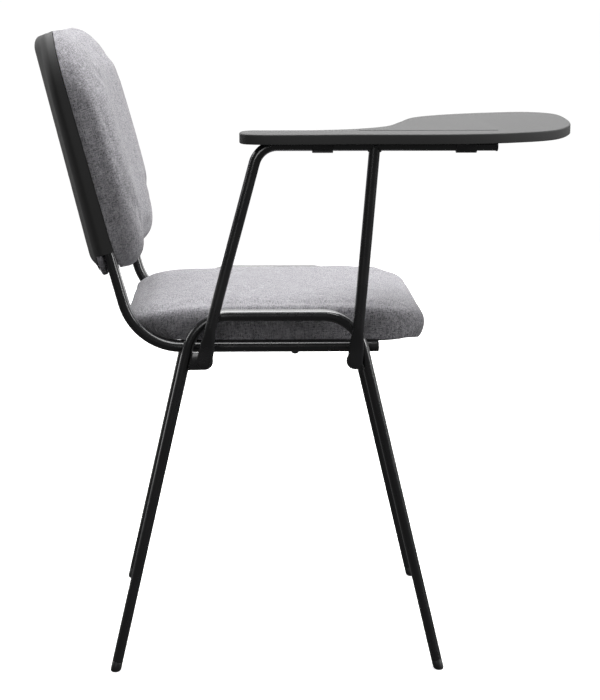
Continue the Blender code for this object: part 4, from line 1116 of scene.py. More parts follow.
def flattened_foot(foot, direction):
    """Stations up from a tube's flattened, rounded end to where it is round again."""
    half = ARM_END_WIDTH / 2
    thin = ARM_END_THICKNESS / 2
    foot_point = Vector((-ARM_END_X, *foot))
    found = []
    for i in range(1, 12):
        turn = math.pi / 2 * i / 12
        edge = thin * (0.70 + 0.30 * math.sin(turn))
        centre = foot_point - direction * half * math.cos(turn)
        found.append(station(centre, direction, edge, half * math.sin(turn)))
    found.append(station(foot_point, direction, thin, half))
    found.append(station(foot_point + direction * ARM_END_STRAIGHT, direction, thin, half))
    for i in range(1, 15):
        share = i / 14
        ease = share * share * (3 - 2 * share)
        centre = foot_point + direction * (ARM_END_STRAIGHT + share * ARM_END_BLEND)
        centre.x = -ARM_END_X + ease * (ARM_END_X - ARM_X)
        half_side = thin + ease * (ARM_RADIUS - thin)
        half_across = half + ease * (ARM_RADIUS - half)
        found.append(station(centre, direction, half_side, half_across))
    return found


def build_arm_tube():
    corners = [
        (-ARM_X, *ARM_FOOT),
        (-ARM_X, *ARM_KNEE),
        (-ARM_X, ARM_CORNER_Y, ARM_RUN_HEIGHT),
        (-ARM_X, ARM_RUN_FRONT, ARM_RUN_HEIGHT),
    ]
    path = bent_path(corners, (ARM_LOWER_BEND, ARM_BEND))
    foot = flattened_foot(ARM_FOOT, path[0][1])
    past = foot[-1][0].z + 0.002
    stations = foot + [station(p, t, ARM_RADIUS, ARM_RADIUS) for p, t in path if p.z > past]
    obj = add_object("arm_tube_look", loft([oval_ring(*one) for one in stations]))
    finish_piece(obj, "frame", "frame_black_steel", powder_coat(), "arm_tube")


def post_direction():
    """The way up along the front post."""
    start = Vector((-ARM_X, *POST_FOOT))
    return (Vector((-ARM_X, POST_HEAD_Y, ARM_RUN_HEIGHT)) - start).normalized()


def cope_ring(radius):
    """The line where the post meets the underside of the run."""
    direction = post_direction()
    side = Vector((1.0, 0.0, 0.0))
    across = side.cross(direction).normalized()
    head = Vector((-ARM_X, POST_HEAD_Y, ARM_RUN_HEIGHT))
    ring = []
    for i in range(TUBE_RING):
        angle = (i + 0.5) * math.tau / TUBE_RING
        point = head + side * radius * math.cos(angle) + across * radius * math.sin(angle)
        lateral = min(abs(point.x + ARM_X), ARM_RADIUS * 0.995)
        level = ARM_RUN_HEIGHT - math.sqrt(ARM_RADIUS**2 - lateral**2) - 0.0002
        ring.append(point + direction * ((level - point.z) / direction.z))
    return ring


def build_arm_post():
    foot = flattened_foot(POST_FOOT, post_direction())
    obj = add_object("arm_post_look", loft([oval_ring(*one) for one in foot] + [cope_ring(ARM_RADIUS)]))
    finish_piece(obj, "frame", "frame_black_steel", powder_coat(), "arm_post")


def build_lug(name, foot, front):
    """Builds a lug, and gives the lines of its two welds."""
    slope = FRONT_LEG_SLOPE if front else -REAR_LEG_SLOPE
    edge = (OVAL_DEPTH / 2) * math.sqrt(1 + slope * slope)
    towards = 1.0 if front else -1.0
    y, z = foot
    outline = [(leg_line(z - LUG_HALF_HEIGHT, front) + towards * edge, z - LUG_HALF_HEIGHT)]
    for i in range(33):
        turn = math.pi * i / 32 - math.pi / 2
        point = (y + towards * LUG_RADIUS * math.cos(turn), z + LUG_RADIUS * math.sin(turn))
        if (point[0] - leg_line(point[1], front) - towards * edge) * towards > GAP:
            outline.append(point)
    outline.append((leg_line(z + LUG_HALF_HEIGHT, front) + towards * edge, z + LUG_HALF_HEIGHT))
    faces = (LEG_OUTER_X - 0.00005, LEG_OUTER_X - LUG_THICKNESS)
    obj = add_object(f"{name}_look", loft([[Vector((-x, *point)) for point in outline] for x in faces]))
    soften(obj, 0.0005)
    finish_piece(obj, "frame", "frame_black_steel", powder_coat(), name)
    along = []
    for x in (LEG_OUTER_X - 0.0006, LEG_OUTER_X - LUG_THICKNESS):
        line = []
        for share in (-1.0, 0.0, 1.0):
            at = z + share * (LUG_HALF_HEIGHT - 0.001)
            line.append((-x, leg_line(at, front) + towards * edge, at))
        along.append(line)
    return along


def hinge_point(x, y, z):
    """A point of the tilted tablet, from its hinge's axes to the chair's."""
    cos, sin = math.cos(TABLET_TILT), math.sin(TABLET_TILT)
    return Vector((-ARM_X + x * cos - z * sin, y, ARM_RUN_HEIGHT + x * sin + z * cos))


def tilt_shape(shape):
    """Moves a shape drawn in the hinge's axes into place on the chair."""
    for vertex in shape.verts:
        vertex.co = hinge_point(*vertex.co)
    return shape


def build_stop_tab():
    """Builds the tab, and gives the line of its weld."""
    low = (ARM_RADIUS + 0.0001, STOP_Y - STOP_LENGTH / 2, -STOP_THICKNESS / 2)
    high = (STOP_REACH, STOP_Y + STOP_LENGTH / 2, STOP_THICKNESS / 2)
    obj = add_object("tablet_stop_tab_look", tilt_shape(block(low, high)))
    soften(obj, 0.0006)
    finish_piece(obj, "frame", "frame_black_steel", powder_coat(), "tablet_stop_tab")
    ends = (STOP_Y - STOP_LENGTH / 2 + 0.002, STOP_Y + STOP_LENGTH / 2 - 0.002)
    return [[tuple(hinge_point(ARM_RADIUS + 0.0002, y, -0.0016)) for y in ends]]


class CHAIR_OT_arm(Operator):
    """Build the tablet arm: its bent tube, its post, the two lugs, the stop tab and their welds"""

    bl_idname = "chair.build_arm"
    bl_label = "Tablet Arm"

    def execute(self, context):
        build_arm_tube()
        build_arm_post()
        paths = build_lug("arm_lug_rear", ARM_FOOT, False)
        paths += build_lug("arm_lug_front", POST_FOOT, True)
        paths += build_stop_tab()
        ring = cope_ring(ARM_RADIUS + 0.0002)
        paths.append(ring + ring[:1])
        weld("arm_welds", paths)
        return {"FINISHED"}


# Screws.


class CHAIR_OT_screws(Operator):
    """Set the seat bolts and arm bolts, and finish the hidden bolts and tee nuts"""

    bl_idname = "chair.build_screws"
    bl_label = "Bolts and Nuts"

    def execute(self, context):
        under = RAIL_HEIGHT - OVAL_DEPTH / 2 - GAP
        places = []
        for y in SEAT_BOLT_Y:
            for _, side in SIDES:
                places.append((Vector((side * SEAT_BOLT_X, y, under)) + MIDDLE, (0.0, 0.0, -1.0)))
        bolt = screw_pattern(0.0052, 0.003, 0.003, 0.0225, False)
        obj = copies("seat_bolts_look", bolt, places, zinc())
        nodes = [f"seat_bolt_{end}_{side_name}" for end in ("front", "rear") for side_name, _ in SIDES]
        finish_piece(obj, "frame", "zinc_steel", zinc(), *nodes)
        places = []
        for foot in (ARM_FOOT, POST_FOOT):
            places.append((Vector((-LEG_OUTER_X + LUG_THICKNESS + GAP, *foot)) + MIDDLE, (1.0, 0.0, 0.0)))
        bolt = screw_pattern(0.0052, 0.003, 0.003, 0.0100, False)
        obj = copies("arm_bolts_look", bolt, places, zinc())
        finish_piece(obj, "frame", "zinc_steel", zinc(), "arm_bolt_rear", "arm_bolt_front")
        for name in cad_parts:
            if "tee_nut" in name or name.startswith("back_bolt"):
                paint_node(name, zinc())
        return {"FINISHED"}


# Cushions.


def inflate(obj, held, pressure, cap):
    """Blows the mesh up a little as pressed cloth, with its held points fixed and every move capped."""
    group = obj.vertex_groups.new(name="held")
    group.add(held, 1.0, "REPLACE")
    before = vertex_array(obj.data)
    outwards = normal_array(obj.data)
    cloth = obj.modifiers.new("cloth", "CLOTH")
    cloth.settings.quality = 5
    cloth.settings.mass = 0.25
    cloth.settings.tension_stiffness = 12.0
    cloth.settings.compression_stiffness = 12.0
    cloth.settings.bending_stiffness = 0.6
    cloth.settings.use_pressure = True
    cloth.settings.uniform_pressure_force = pressure
    cloth.settings.vertex_group_mass = "held"
    cloth.settings.effector_weights.gravity = 0.0
    cloth.point_cache.frame_start = 1
    cloth.point_cache.frame_end = 20
    scene = bpy.context.scene
    for number in range(1, 21):
        scene.frame_set(number)
    settle(obj)
    scene.frame_set(1)
    after = vertex_array(obj.data)
    move = after - before
    inward = np.minimum((move * outwards).sum(axis=1, keepdims=True) + PULL_IN, 0.0)
    move -= inward * outwards
    length = np.linalg.norm(move, axis=1, keepdims=True)
    limit = np.tanh(length / cap) * cap
    after = before + move * np.where(length > 1e-9, limit / np.maximum(length, 1e-9), 1.0)
    set_vertices(obj.data, after)
    obj.vertex_groups.clear()


def vertex_array(mesh):
    points = np.empty(len(mesh.vertices) * 3, np.float32)
    mesh.vertices.foreach_get("co", points)
    return points.reshape(-1, 3).astype(np.float64)


def set_vertices(mesh, points):
    mesh.vertices.foreach_set("co", points.astype(np.float32).ravel())
    mesh.update()


def normal_array(mesh):
    normals = np.empty(len(mesh.vertices) * 3, np.float32)
    mesh.vertex_normals.foreach_get("vector", normals)
    return normals.reshape(-1, 3).astype(np.float64)


def remesh(obj, size):
    modifier = obj.modifiers.new("remesh", "REMESH")
    modifier.mode = "VOXEL"
    modifier.voxel_size = size
    settle(obj)


def relax(obj, times, factor=0.5):
    modifier = obj.modifiers.new("relax", "SMOOTH")
    modifier.iterations = times
    modifier.factor = factor
    settle(obj)


def subdivide(obj):
    modifier = obj.modifiers.new("subdivide", "SUBSURF")
    modifier.levels = 1
    modifier.render_levels = 1
    settle(obj)


def store_weave(mesh, flat):
    """Keeps each point's place in the cloth, in metres, as the weave's UV map."""
    layer = mesh.uv_layers.get("weave") or mesh.uv_layers.new(name="weave")
    corners = np.empty(len(mesh.loops), np.int32)
    mesh.loops.foreach_get("vertex_index", corners)
    layer.data.foreach_set("uv", flat[corners].astype(np.float32).ravel())


def unroll(points, normals, top):
    """Where each point lies in cloth that was laid flat over the top and folded down the sides."""
    fall = (top - points[:, 2])[:, None]
    return points[:, :2] + normals[:, :2] * fall


def seat_loop(level):
    """The seat pad's outline at a height above its base: a long nose in front, far undercut at the rear."""
    above = SEAT_THICKNESS - level
    side = round_inset(level, 0.002, 0.006) + round_inset(above, 0.010, 0.014)
    front = round_inset(level, 0.012, 0.018) + round_inset(above, 0.030, 0.026)
    rear = round_inset(level, 0.040, 0.024) + round_inset(above, 0.030, 0.020)
    half = SEAT_HALF_WIDTH - side
    return rounded_rectangle(half, SEAT_FRONT + front, SEAT_REAR - rear, SEAT_CORNER, SEAT_CORNER)


def scaled_loop(loop, share, middle, level):
    """An outline drawn in towards its middle, as points at one level."""
    return [Vector((x * share, middle + (y - middle) * share, level)) for x, y in loop]


def seat_sag(y):
    """How far the top is below its highest level, along the seat."""
    rear = max(0.0, (y - 0.045) / 0.130)
    front = max(0.0, (-y - 0.090) / 0.100)
    return 0.007 * rear * rear + 0.003 * front * front


def build_seat_cushion():
    levels = [SEAT_THICKNESS * (1 - math.cos(math.pi * i / 24)) / 2 for i in range(25)]
    loops = [[Vector((x, y, level)) for x, y in seat_loop(level)] for level in levels]
    middle = (SEAT_FRONT + SEAT_REAR) / 2
    base = [scaled_loop(seat_loop(0.0), share, middle, -PAD_SKIRT) for share in BASE_SHARES]
    cap = [scaled_loop(seat_loop(SEAT_THICKNESS), share, middle, SEAT_THICKNESS) for share in CAP_SHARES]
    lift = Vector((0.0, 0.0, SEAT_BASE))
    obj = add_object("seat_cushion_look", loft(base + loops + cap), 180.0, MIDDLE + lift)
    remesh(obj, looks().remesh_size)
    relax(obj, 3)
    held = [int(i) for i in np.nonzero(vertex_array(obj.data)[:, 2] < SEAT_BASE + 0.004)[0]]
    inflate(obj, held, looks().pressure, looks().most_swell)
    shape_seat(obj)
    subdivide(obj)
    trim_below(obj, SEAT_BASE)
    detail_seat(obj)
    half = SEAT_BOARD_HALF_WIDTH + SEAT_POCKET_ROOM
    low = SEAT_BOARD_Y[0] - SEAT_POCKET_ROOM
    high = SEAT_BOARD_Y[1] + SEAT_POCKET_ROOM
    pocket = rounded_rectangle(half, low, high, SEAT_BOARD_CORNER, SEAT_BOARD_CORNER, 8, 2, 2)
    heights = (SEAT_BASE - 0.01, SEAT_BASE + SEAT_BOARD_THICKNESS + GAP)
    cut(obj, loft([[Vector((x, y, z)) for x, y in pocket] for z in heights]))
    obj.data.shade_smooth()
    obj.data.set_sharp_from_angle(angle=math.radians(60))
    points = vertex_array(obj.data)
    store_weave(obj.data, unroll(points, normal_array(obj.data), SEAT_BASE + SEAT_THICKNESS))
    finish_piece(obj, "frame", "grey_fabric", grey_weave(), "seat_cushion")


def trim_below(obj, level):
    """Cuts away all that is below a level and closes the cut."""
    shape = bmesh.new()
    shape.from_mesh(obj.data)
    everything = shape.verts[:] + shape.edges[:] + shape.faces[:]
    plane = {"plane_co": (0, 0, level), "plane_no": (0, 0, 1)}
    cut_made = bmesh.ops.bisect_plane(shape, geom=everything, clear_inner=True, **plane)
    rim = [item for item in cut_made["geom_cut"] if isinstance(item, bmesh.types.BMEdge)]
    bmesh.ops.edgeloop_fill(shape, edges=rim)
    bmesh.ops.recalc_face_normals(shape, faces=shape.faces)
    shape.to_mesh(obj.data)
    shape.free()


def shape_seat(obj):
    """Lets the top fall towards the rear and the front, and crowns it."""
    points = vertex_array(obj.data)
    x = (points[:, 0] - MIDDLE_X) / SEAT_HALF_WIDTH
    y = points[:, 1] - MIDDLE_Y
    share = np.clip((points[:, 2] - SEAT_BASE) / SEAT_THICKNESS, 0.0, 1.0) ** 1.5
    sag = np.array([seat_sag(value) for value in y])
    crown = looks().seat_crown * np.clip(1 - x * x, 0.0, 1.0) * np.clip(1 - (y / 0.19) ** 2, 0.0, 1.0)
    points[:, 2] += share * (crown - sag)
    set_vertices(obj.data, points)


def detail_seat(obj):
    """Soft unevenness of foam under cloth, gathers where it turns under the corners, and a low nose."""
    points = vertex_array(obj.data)
    normals = normal_array(obj.data)
    x = points[:, 0] - MIDDLE_X
    y = points[:, 1] - MIDDLE_Y
    level = points[:, 2] - SEAT_BASE
    drift = np.sin(31 * x + 2 * np.sin(17 * y)) * np.sin(27 * y + 1.3) + 0.6 * np.sin(58 * x - 44 * y + 0.7)
    corner = np.clip(np.abs(x) / SEAT_HALF_WIDTH - 0.78, 0.0, 0.2) / 0.06
    corner = corner * np.clip(np.abs(y) / 0.19 - 0.72, 0.0, 0.3)
    low = np.exp(-((np.maximum(level, 0.0) - 0.004) / 0.012) ** 2) * (level > 0.0008)
    around = np.arctan2(y - np.sign(y) * 0.135, x - np.sign(x) * 0.180)
    gather = np.sin(around * 34 + 2 * np.sin(around * 9)) * corner * low
    push = 0.00035 * drift * np.clip(level / 0.03, 0.0, 1.0) + 0.0011 * gather
    points += normals * push[:, None]
    nose = np.clip((-y - 0.172) / 0.020, 0.0, 1.0)
    points[:, 2] -= SEAT_NOSE_DROP * nose * nose * (3 - 2 * nose) * np.clip(1 - level / 0.022, 0.0, 1.0)
    set_vertices(obj.data, points)


def build_seat_cover():
    """The thin black cover under the seat: its cloth-like sheet turned up at the rim."""
    low = SEAT_BOARD_Y[0] - SEAT_COVER_OVERHANG
    high = SEAT_BOARD_Y[1] + SEAT_COVER_OVERHANG
    half = SEAT_BOARD_HALF_WIDTH + SEAT_COVER_OVERHANG
    radius = SEAT_BOARD_CORNER + SEAT_COVER_OVERHANG
    base = SEAT_BASE - SEAT_COVER_DROP
    loops = []
    for inset, z in ((0.0, 0.0), (0.0005, 0.0), (0.0005, 0.0014), (0.0, 0.0015)):
        outline = rounded_rectangle(half - inset, low + inset, high - inset, radius, radius, 12, 12, 8)
        loops.append([Vector((px, py, base + z)) for px, py in outline])
    obj = add_object("seat_under_cover_look", loft([loops[1], loops[0], loops[3], loops[2]]), 30.0)
    material = moulded("cover_black", (0.016, 0.016, 0.017), 0.72, 1300.0, 0.0005)
    finish_piece(obj, "frame", "black_plastic", material, "seat_under_cover")


class CHAIR_OT_seat(Operator):
    """Build the seat cushion, with its cloth simulated, and the cover under it"""

    bl_idname = "chair.build_seat"
    bl_label = "Seat"

    def execute(self, context):
        build_seat_cushion()
        build_seat_cover()
        paint_node("seat_board", plywood())
        return {"FINISHED"}


# Back.


def back_bow(x):
    """How far the back is bowed, which is most at its middle and nothing at the uprights."""
    share = min(abs(x) / BACK_LAND, 1.0)
    return -BACK_BOW * math.cos(math.pi / 2 * share) ** 2


def back_point(x, u, v):
    """A point of the back, from its own axes to the chair's."""
    rise = BACK_U_ORIGIN_RISE
    origin = Vector((x, UPRIGHT_FOOT_Y + UPRIGHT_SLOPE * rise, RAIL_HEIGHT + rise))
    up = Vector((0.0, math.sin(UPRIGHT_LEAN), math.cos(UPRIGHT_LEAN)))
    forward = Vector((0.0, -math.cos(UPRIGHT_LEAN), math.sin(UPRIGHT_LEAN)))
    return origin + up * u + forward * (v + OVAL_DEPTH / 2 + GAP + back_bow(x))


def stand_on_back(obj):
    """Moves a mesh drawn flat, with x across, y up the back and z forward, into place on the chair."""
    points = [back_point(*vertex.co) + MIDDLE for vertex in obj.data.vertices]
    set_vertices(obj.data, np.array([tuple(point) for point in points]))


def back_pad_loop(v):
    """The back pad's outline at a distance forward of its base."""
    ahead = BACK_PAD_DEPTH - v
    side = round_inset(ahead, 0.012, 0.014)
    top = round_inset(ahead, 0.054, 0.033)
    bottom = round_inset(ahead, 0.026, 0.026)
    half = BACK_HALF_WIDTH + 0.0005 - side
    low = BACK_BOTTOM + BACK_PAD_RISE + bottom
    high = BACK_TOP + 0.0005 - top
    share = v / BACK_PAD_DEPTH
    return rounded_rectangle(half, low, high, BACK_LOW_CORNER + 0.050 * share, BACK_CORNER + 0.030 * share)


def build_back_cushion():
    middle = (BACK_TOP + BACK_BOTTOM) / 2
    depths = [BACK_PAD_DEPTH * (1 - math.cos(math.pi * i / 20)) / 2 for i in range(21)]
    loops = [scaled_loop(back_pad_loop(0.0), share, middle, -PAD_SKIRT) for share in BASE_SHARES]
    loops += [[Vector((x, u, v)) for x, u in back_pad_loop(v)] for v in depths]
    face = back_pad_loop(BACK_PAD_DEPTH)
    loops += [scaled_loop(face, share, middle, BACK_PAD_DEPTH) for share in CAP_SHARES]
    obj = add_object("back_cushion_look", loft(loops), 180.0, ORIGIN)
    remesh(obj, looks().remesh_size)
    relax(obj, 2)
    held = [int(i) for i in np.nonzero(vertex_array(obj.data)[:, 2] < 0.003)[0]]
    inflate(obj, held, looks().pressure, looks().most_swell)
    subdivide(obj)
    trim_below(obj, 0.0)
    detail_back(obj)
    half, low, high, low_corner, corner = BACK_BOARD
    room = BACK_POCKET_ROOM
    pocket = rounded_rectangle(half + room, low - room, high + room, low_corner, corner, 8, 2, 2)
    depths = (-0.01, BACK_BOARD_THICKNESS + 0.001)
    cut(obj, loft([[Vector((x, u, v)) for x, u in pocket] for v in depths]), offset=ORIGIN)
    points = vertex_array(obj.data)
    store_weave(obj.data, unroll(points, normal_array(obj.data), BACK_PAD_DEPTH))
    stand_on_back(obj)
    obj.data.shade_smooth()
    obj.data.set_sharp_from_angle(angle=math.radians(60))
    finish_piece(obj, "frame", "grey_fabric", grey_weave(), "back_cushion")


def detail_back(obj):
    """A fuller middle, a lower edge that sags a little, and soft unevenness."""
    points = vertex_array(obj.data)
    normals = normal_array(obj.data)
    x, u, v = points[:, 0], points[:, 1], points[:, 2]
    middle = (BACK_TOP + BACK_BOTTOM) / 2
    across = np.clip(1 - (x / 0.235) ** 2, 0, 1)
    crown = looks().back_crown * across * np.clip(1 - ((u - middle) / 0.163) ** 4, 0, 1)
    points[:, 2] += crown * np.clip(v / BACK_PAD_DEPTH, 0.0, 1.0) ** 2
    points[:, 1] -= BACK_PAD_SAG * across * np.clip((0.02 - u) / 0.08, 0, 1) * np.clip(v / 0.012, 0, 1)
    drift = np.sin(29 * x + 2 * np.sin(19 * u)) * np.sin(23 * u + 0.4) + 0.6 * np.sin(52 * x + 41 * u)
    set_vertices(obj.data, points + normals * (0.00035 * drift * np.clip(v / 0.02, 0, 1))[:, None])


def build_back_lip():
    """The cloth turned under the board's lower edge, back to the shell's rear wall."""
    shapes = []
    lips = (
        (LIP_HALF_WIDTH, LIP_CORNER, LIP_SECTION),
        (LIP_REAR_HALF_WIDTH, (SHELL_LOW_CORNER, SHELL_LOW_CORNER), LIP_REAR_SECTION),
    )
    for half, (turn, lift), section in lips:
        rows = []
        for i in range(61):
            x = -half + 2 * half * i / 60
            end = max(0.0, abs(x) - half + turn) / turn
            rise = lift * (1 - math.sqrt(max(0.0, 1 - end * end)))
            rows.append([back_point(x, u + rise, v) for v, u in section])
        shapes.append(loft(rows))
    obj = add_object("back_cushion_lip", joined(shapes), 60.0)
    modifier = obj.modifiers.new("subdivide", "SUBSURF")
    modifier.levels = 2
    modifier.render_levels = 2
    settle(obj)
    points = vertex_array(obj.data)
    store_weave(obj.data, points[:, :2])
    finish_piece(obj, "frame", "grey_fabric", grey_weave())


def shell_depth(u):
    """How deep the shell is at a height up the back."""
    return SHELL_DEPTH - SHELL_TAPER * u


def shell_rows(margin, wall):
    """Rings of the shell's outside or, with a margin, of its inside."""
    half = BACK_HALF_WIDTH + 0.001 - margin
    rows = []
    shares = [0.0, 0.02, 0.15, 0.3] + [0.45 + 0.55 * math.sin(math.pi / 2 * i / 12) for i in range(13)]
    for share in shares:
        bend_share = max(0.0, (share - 0.45) / 0.55)
        inset = 0.018 * (1 - math.sqrt(max(0.0, 1 - bend_share * bend_share)))
        low = BACK_BOTTOM + SHELL_RISE + margin + inset
        high = BACK_TOP - 0.0005 - margin - inset
        loop = rounded_rectangle(half - inset, low, high, SHELL_LOW_CORNER, BACK_CORNER)
        rows.append([back_point(x, u, -BOW_CLEARANCE - share * (shell_depth(u) - wall)) for x, u in loop])
    middle = (BACK_TOP + BACK_BOTTOM) / 2
    for share in (0.93, 0.8, 0.65, 0.5, 0.35, 0.2, 0.07):
        ring = [(x * share, middle + (u - middle) * share) for x, u in loop]
        rows.append([back_point(x, u, -BOW_CLEARANCE - shell_depth(u) + wall) for x, u in ring])
    rows.append([back_point(0.0, middle, -BOW_CLEARANCE - shell_depth(middle) + wall)])
    return rows


def build_back_shell():
    inside = shell_rows(SHELL_WALL, SHELL_WALL)
    obj = add_object("back_shell_look", loft(inside[::-1] + shell_rows(0.0, 0.0)), 40.0)
    half = BACK_HALF_WIDTH + 0.03
    opening = rounded_rectangle(half, BACK_BOTTOM - 0.03, SHELL_WING_BOTTOM, 0.001, 0.001, 3, 40, 4)
    loops = []
    loops.append([back_point(x, u, SHELL_WALL - shell_depth(u)) for x, u in opening])
    loops.append([back_point(x, u, 0.02) for x, u in opening])
    cut(obj, loft(loops))
    obj.data.shade_smooth()
    obj.data.set_sharp_from_angle(angle=math.radians(40))
    finish_piece(obj, "frame", "shell_plastic", shell_plastic(), "back_shell")


class CHAIR_OT_back(Operator):
    """Build the back cushion, with its cloth simulated, its lower lip and the shell behind it"""

    bl_idname = "chair.build_back"
    bl_label = "Backrest"

    def execute(self, context):
        build_back_cushion()
        build_back_lip()
        build_back_shell()
        paint_node("back_board", plywood())
        return {"FINISHED"}


# Tablet.


def at_level(outline, z):
    """A flat outline as points at one height."""
    return [Vector((point.x, point.y, z)) for point in outline]


def tablet_ribs():
    """Thin ribs across the hollow underside, with a little draft."""
    shapes = []
    plate = TABLET_TOP - TABLET_PLATE
    for ahead, far in ((0.200, 0.205), (0.250, 0.240), (0.300, 0.262), (0.345, 0.255)):
        loops = []
        for z, half in ((plate + 0.0005, 0.0013), (plate - 0.0045, 0.0009), (plate - 0.005, 0.0005)):
            corners = ((0.034, -half), (far, -half), (far, half), (0.034, half))
            loops.append([Vector((x, -ahead + across, z)) for x, across in corners])
        shapes.append(loft(loops))
    return shapes


def build_tablet():
    outline = smooth_outline([(inward - TABLET_OUTBOARD, -ahead) for ahead, inward in TABLET_OUTLINE], 10)
    plate = TABLET_TOP - TABLET_PLATE
    skirt = TABLET_TOP - TABLET_DEPTH
    loops = [
        at_level(inset_outline(outline, TABLET_WALL + 0.0008), plate),
        at_level(inset_outline(outline, TABLET_WALL), plate - 0.0008),
        at_level(inset_outline(outline, TABLET_WALL - 0.0004), skirt + 0.0006),
        at_level(inset_outline(outline, TABLET_WALL - 0.0010), skirt),
        at_level(inset_outline(outline, 0.0007), skirt),
        at_level(inset_outline(outline, 0.0001), skirt + 0.0006),
    ]
    edge = 0.0018
    for i in range(7):
        turn = math.pi / 2 * i / 6
        rounded = inset_outline(outline, edge * (1 - math.cos(turn)))
        loops.append(at_level(rounded, TABLET_TOP - edge * (1 - math.sin(turn))))
    obj = add_object("tablet_look", tilt_shape(loft(loops)), 30.0)
    cut(obj, tilt_shape(loft(groove_rings())))
    for shape in tablet_ribs() + tablet_bosses():
        cut(obj, tilt_shape(shape), "UNION")
    obj.data.shade_smooth()
    obj.data.set_sharp_from_angle(angle=math.radians(30))
    finish_piece(obj, "tablet", "tablet_plastic", tablet_plastic(), "tablet")


def groove_rings():
    """The pencil groove: a long slot with round ends that opens a little towards the top."""
    x = GROOVE_OFFSET - TABLET_OUTBOARD
    half = GROOVE_WIDTH / 2
    rings = []
    for below, grow in ((GROOVE_DEPTH, -0.0007), (GROOVE_DEPTH * 0.4, 0.0), (-0.003, 0.0006)):
        radius = half + grow
        ring = []
        for centre, start in ((GROOVE_Y[1] - half, 0), (GROOVE_Y[0] + half, 180)):
            for i in range(13):
                turn = math.radians(start + 180 * i / 12)
                place = (x + radius * math.cos(turn), centre + radius * math.sin(turn), TABLET_TOP - below)
                ring.append(Vector(place))
        rings.append(ring)
    return rings


def tablet_bosses():
    """Screw bosses for the clips, and the pad that rests on the stop."""
    plate = TABLET_TOP - TABLET_PLATE
    shapes = []
    for y in CLIP_Y:
        for x in (-CLIP_SCREW_X, CLIP_SCREW_X):
            profile = [(0, 0.0036), (plate - CLIP_FLANGE[1] + 0.0005, 0.0039)]
            shapes.append(turned((x, y, CLIP_FLANGE[1] + GAP), (0, 0, 1), profile))
    pad_low = (STOP_REACH - 0.008, STOP_Y - STOP_LENGTH / 2 + 0.004, STOP_THICKNESS / 2 + GAP)
    pad_high = (STOP_REACH - 0.001, STOP_Y + STOP_LENGTH / 2 - 0.004, plate + 0.0005)
    shapes.append(block(pad_low, pad_high))
    return shapes


def clip_outline():
    """A saddle's section round the run, from one flange round to the other."""
    low, high = CLIP_FLANGE
    reach = CLIP_BORE + CLIP_WALL
    points = [(CLIP_FLANGE_REACH, low), (CLIP_FLANGE_REACH, high), (CLIP_BORE, high), (CLIP_BORE, 0.0)]
    turns = [math.pi * i / 24 for i in range(1, 24)]
    points += [(CLIP_BORE * math.cos(a), -CLIP_BORE * math.sin(a)) for a in turns]
    points += [(-CLIP_BORE, 0.0), (-CLIP_BORE, high), (-CLIP_FLANGE_REACH, high), (-CLIP_FLANGE_REACH, low)]
    points += [(-reach - 0.001, low), (-reach, low - 0.001), (-reach, 0.0)]
    points += [(reach * math.cos(math.pi + a), reach * math.sin(math.pi + a)) for a in turns]
    points += [(reach, 0.0), (reach, low - 0.001), (reach + 0.001, low)]
    return points


def build_clip(end, y):
    half = CLIP_LENGTH / 2
    loops = [[Vector((x, along, z)) for x, z in clip_outline()] for along in (y - half, y + half)]
    obj = add_object(f"hinge_clip_{end}_look", tilt_shape(loft(loops)), 30.0)
    soften(obj, 0.0005, 3, 35.0)
    material = moulded("clip_plastic", (0.018, 0.018, 0.019), 0.40, 2000.0, 0.0002)
    finish_piece(obj, "tablet", "black_plastic", material, f"hinge_clip_{end}")


class CHAIR_OT_tablet(Operator):
    """Build the writing tablet with its groove and ribs, its two hinge clips and their screws"""

    bl_idname = "chair.build_tablet"
    bl_label = "Writing Tablet"

    def execute(self, context):
        build_tablet()
        ends = tuple(zip(("rear", "front"), CLIP_Y))
        for end, y in ends:
            build_clip(end, y)
        down = (math.sin(TABLET_TILT), 0.0, -math.cos(TABLET_TILT))
        places = []
        nodes = []
        for end, y in ends:
            for name, x in (("outer", -CLIP_SCREW_X), ("inner", CLIP_SCREW_X)):
                places.append((hinge_point(x, y, CLIP_FLANGE[0] - GAP) + MIDDLE, down))
                nodes.append(f"clip_screw_{end}_{name}")
        screw = screw_pattern(0.0030, 0.0013, 0.0018, 0.0060, True)
        obj = copies("clip_screws_look", screw, places, zinc())
        finish_piece(obj, "tablet", "zinc_steel", zinc(), *nodes)
        return {"FINISHED"}


# Stage.


def add_area(name, place, target, size, power):
    light = bpy.data.lights.new(name, "AREA")
    light.shape = "RECTANGLE"
    light.size, light.size_y = size
    light.energy = power
    obj = bpy.data.objects.new(name, light)
    bpy.context.scene.collection.objects.link(obj)
    obj.location = place
    obj.rotation_euler = (Vector(target) - Vector(place)).to_track_quat("-Z", "Y").to_euler()


def add_disc(name, radius, z):
    shape = bmesh.new()
    place = Matrix.Translation((0.0, 0.0, z))
    bmesh.ops.create_circle(shape, cap_ends=True, radius=radius, segments=96, matrix=place)
    mesh = bpy.data.meshes.new(name)
    shape.to_mesh(mesh)
    shape.free()
    obj = bpy.data.objects.new(name, mesh)
    bpy.context.scene.collection.objects.link(obj)
    return obj


def stage_material(name, colour, glow):
    """A matt material that also gives off some white light of its own."""
    material = bpy.data.materials.new(name)
    material.use_nodes = True
    shader = material.node_tree.nodes["Principled BSDF"]
    shader.inputs["Base Color"].default_value = (*colour, 1.0)
    shader.inputs["Roughness"].default_value = 0.9
    shader.inputs["Specular IOR Level"].default_value = 0.0
    shader.inputs["Emission Color"].default_value = (1.0, 1.0, 1.0, 1.0)
    shader.inputs["Emission Strength"].default_value = glow
    return material


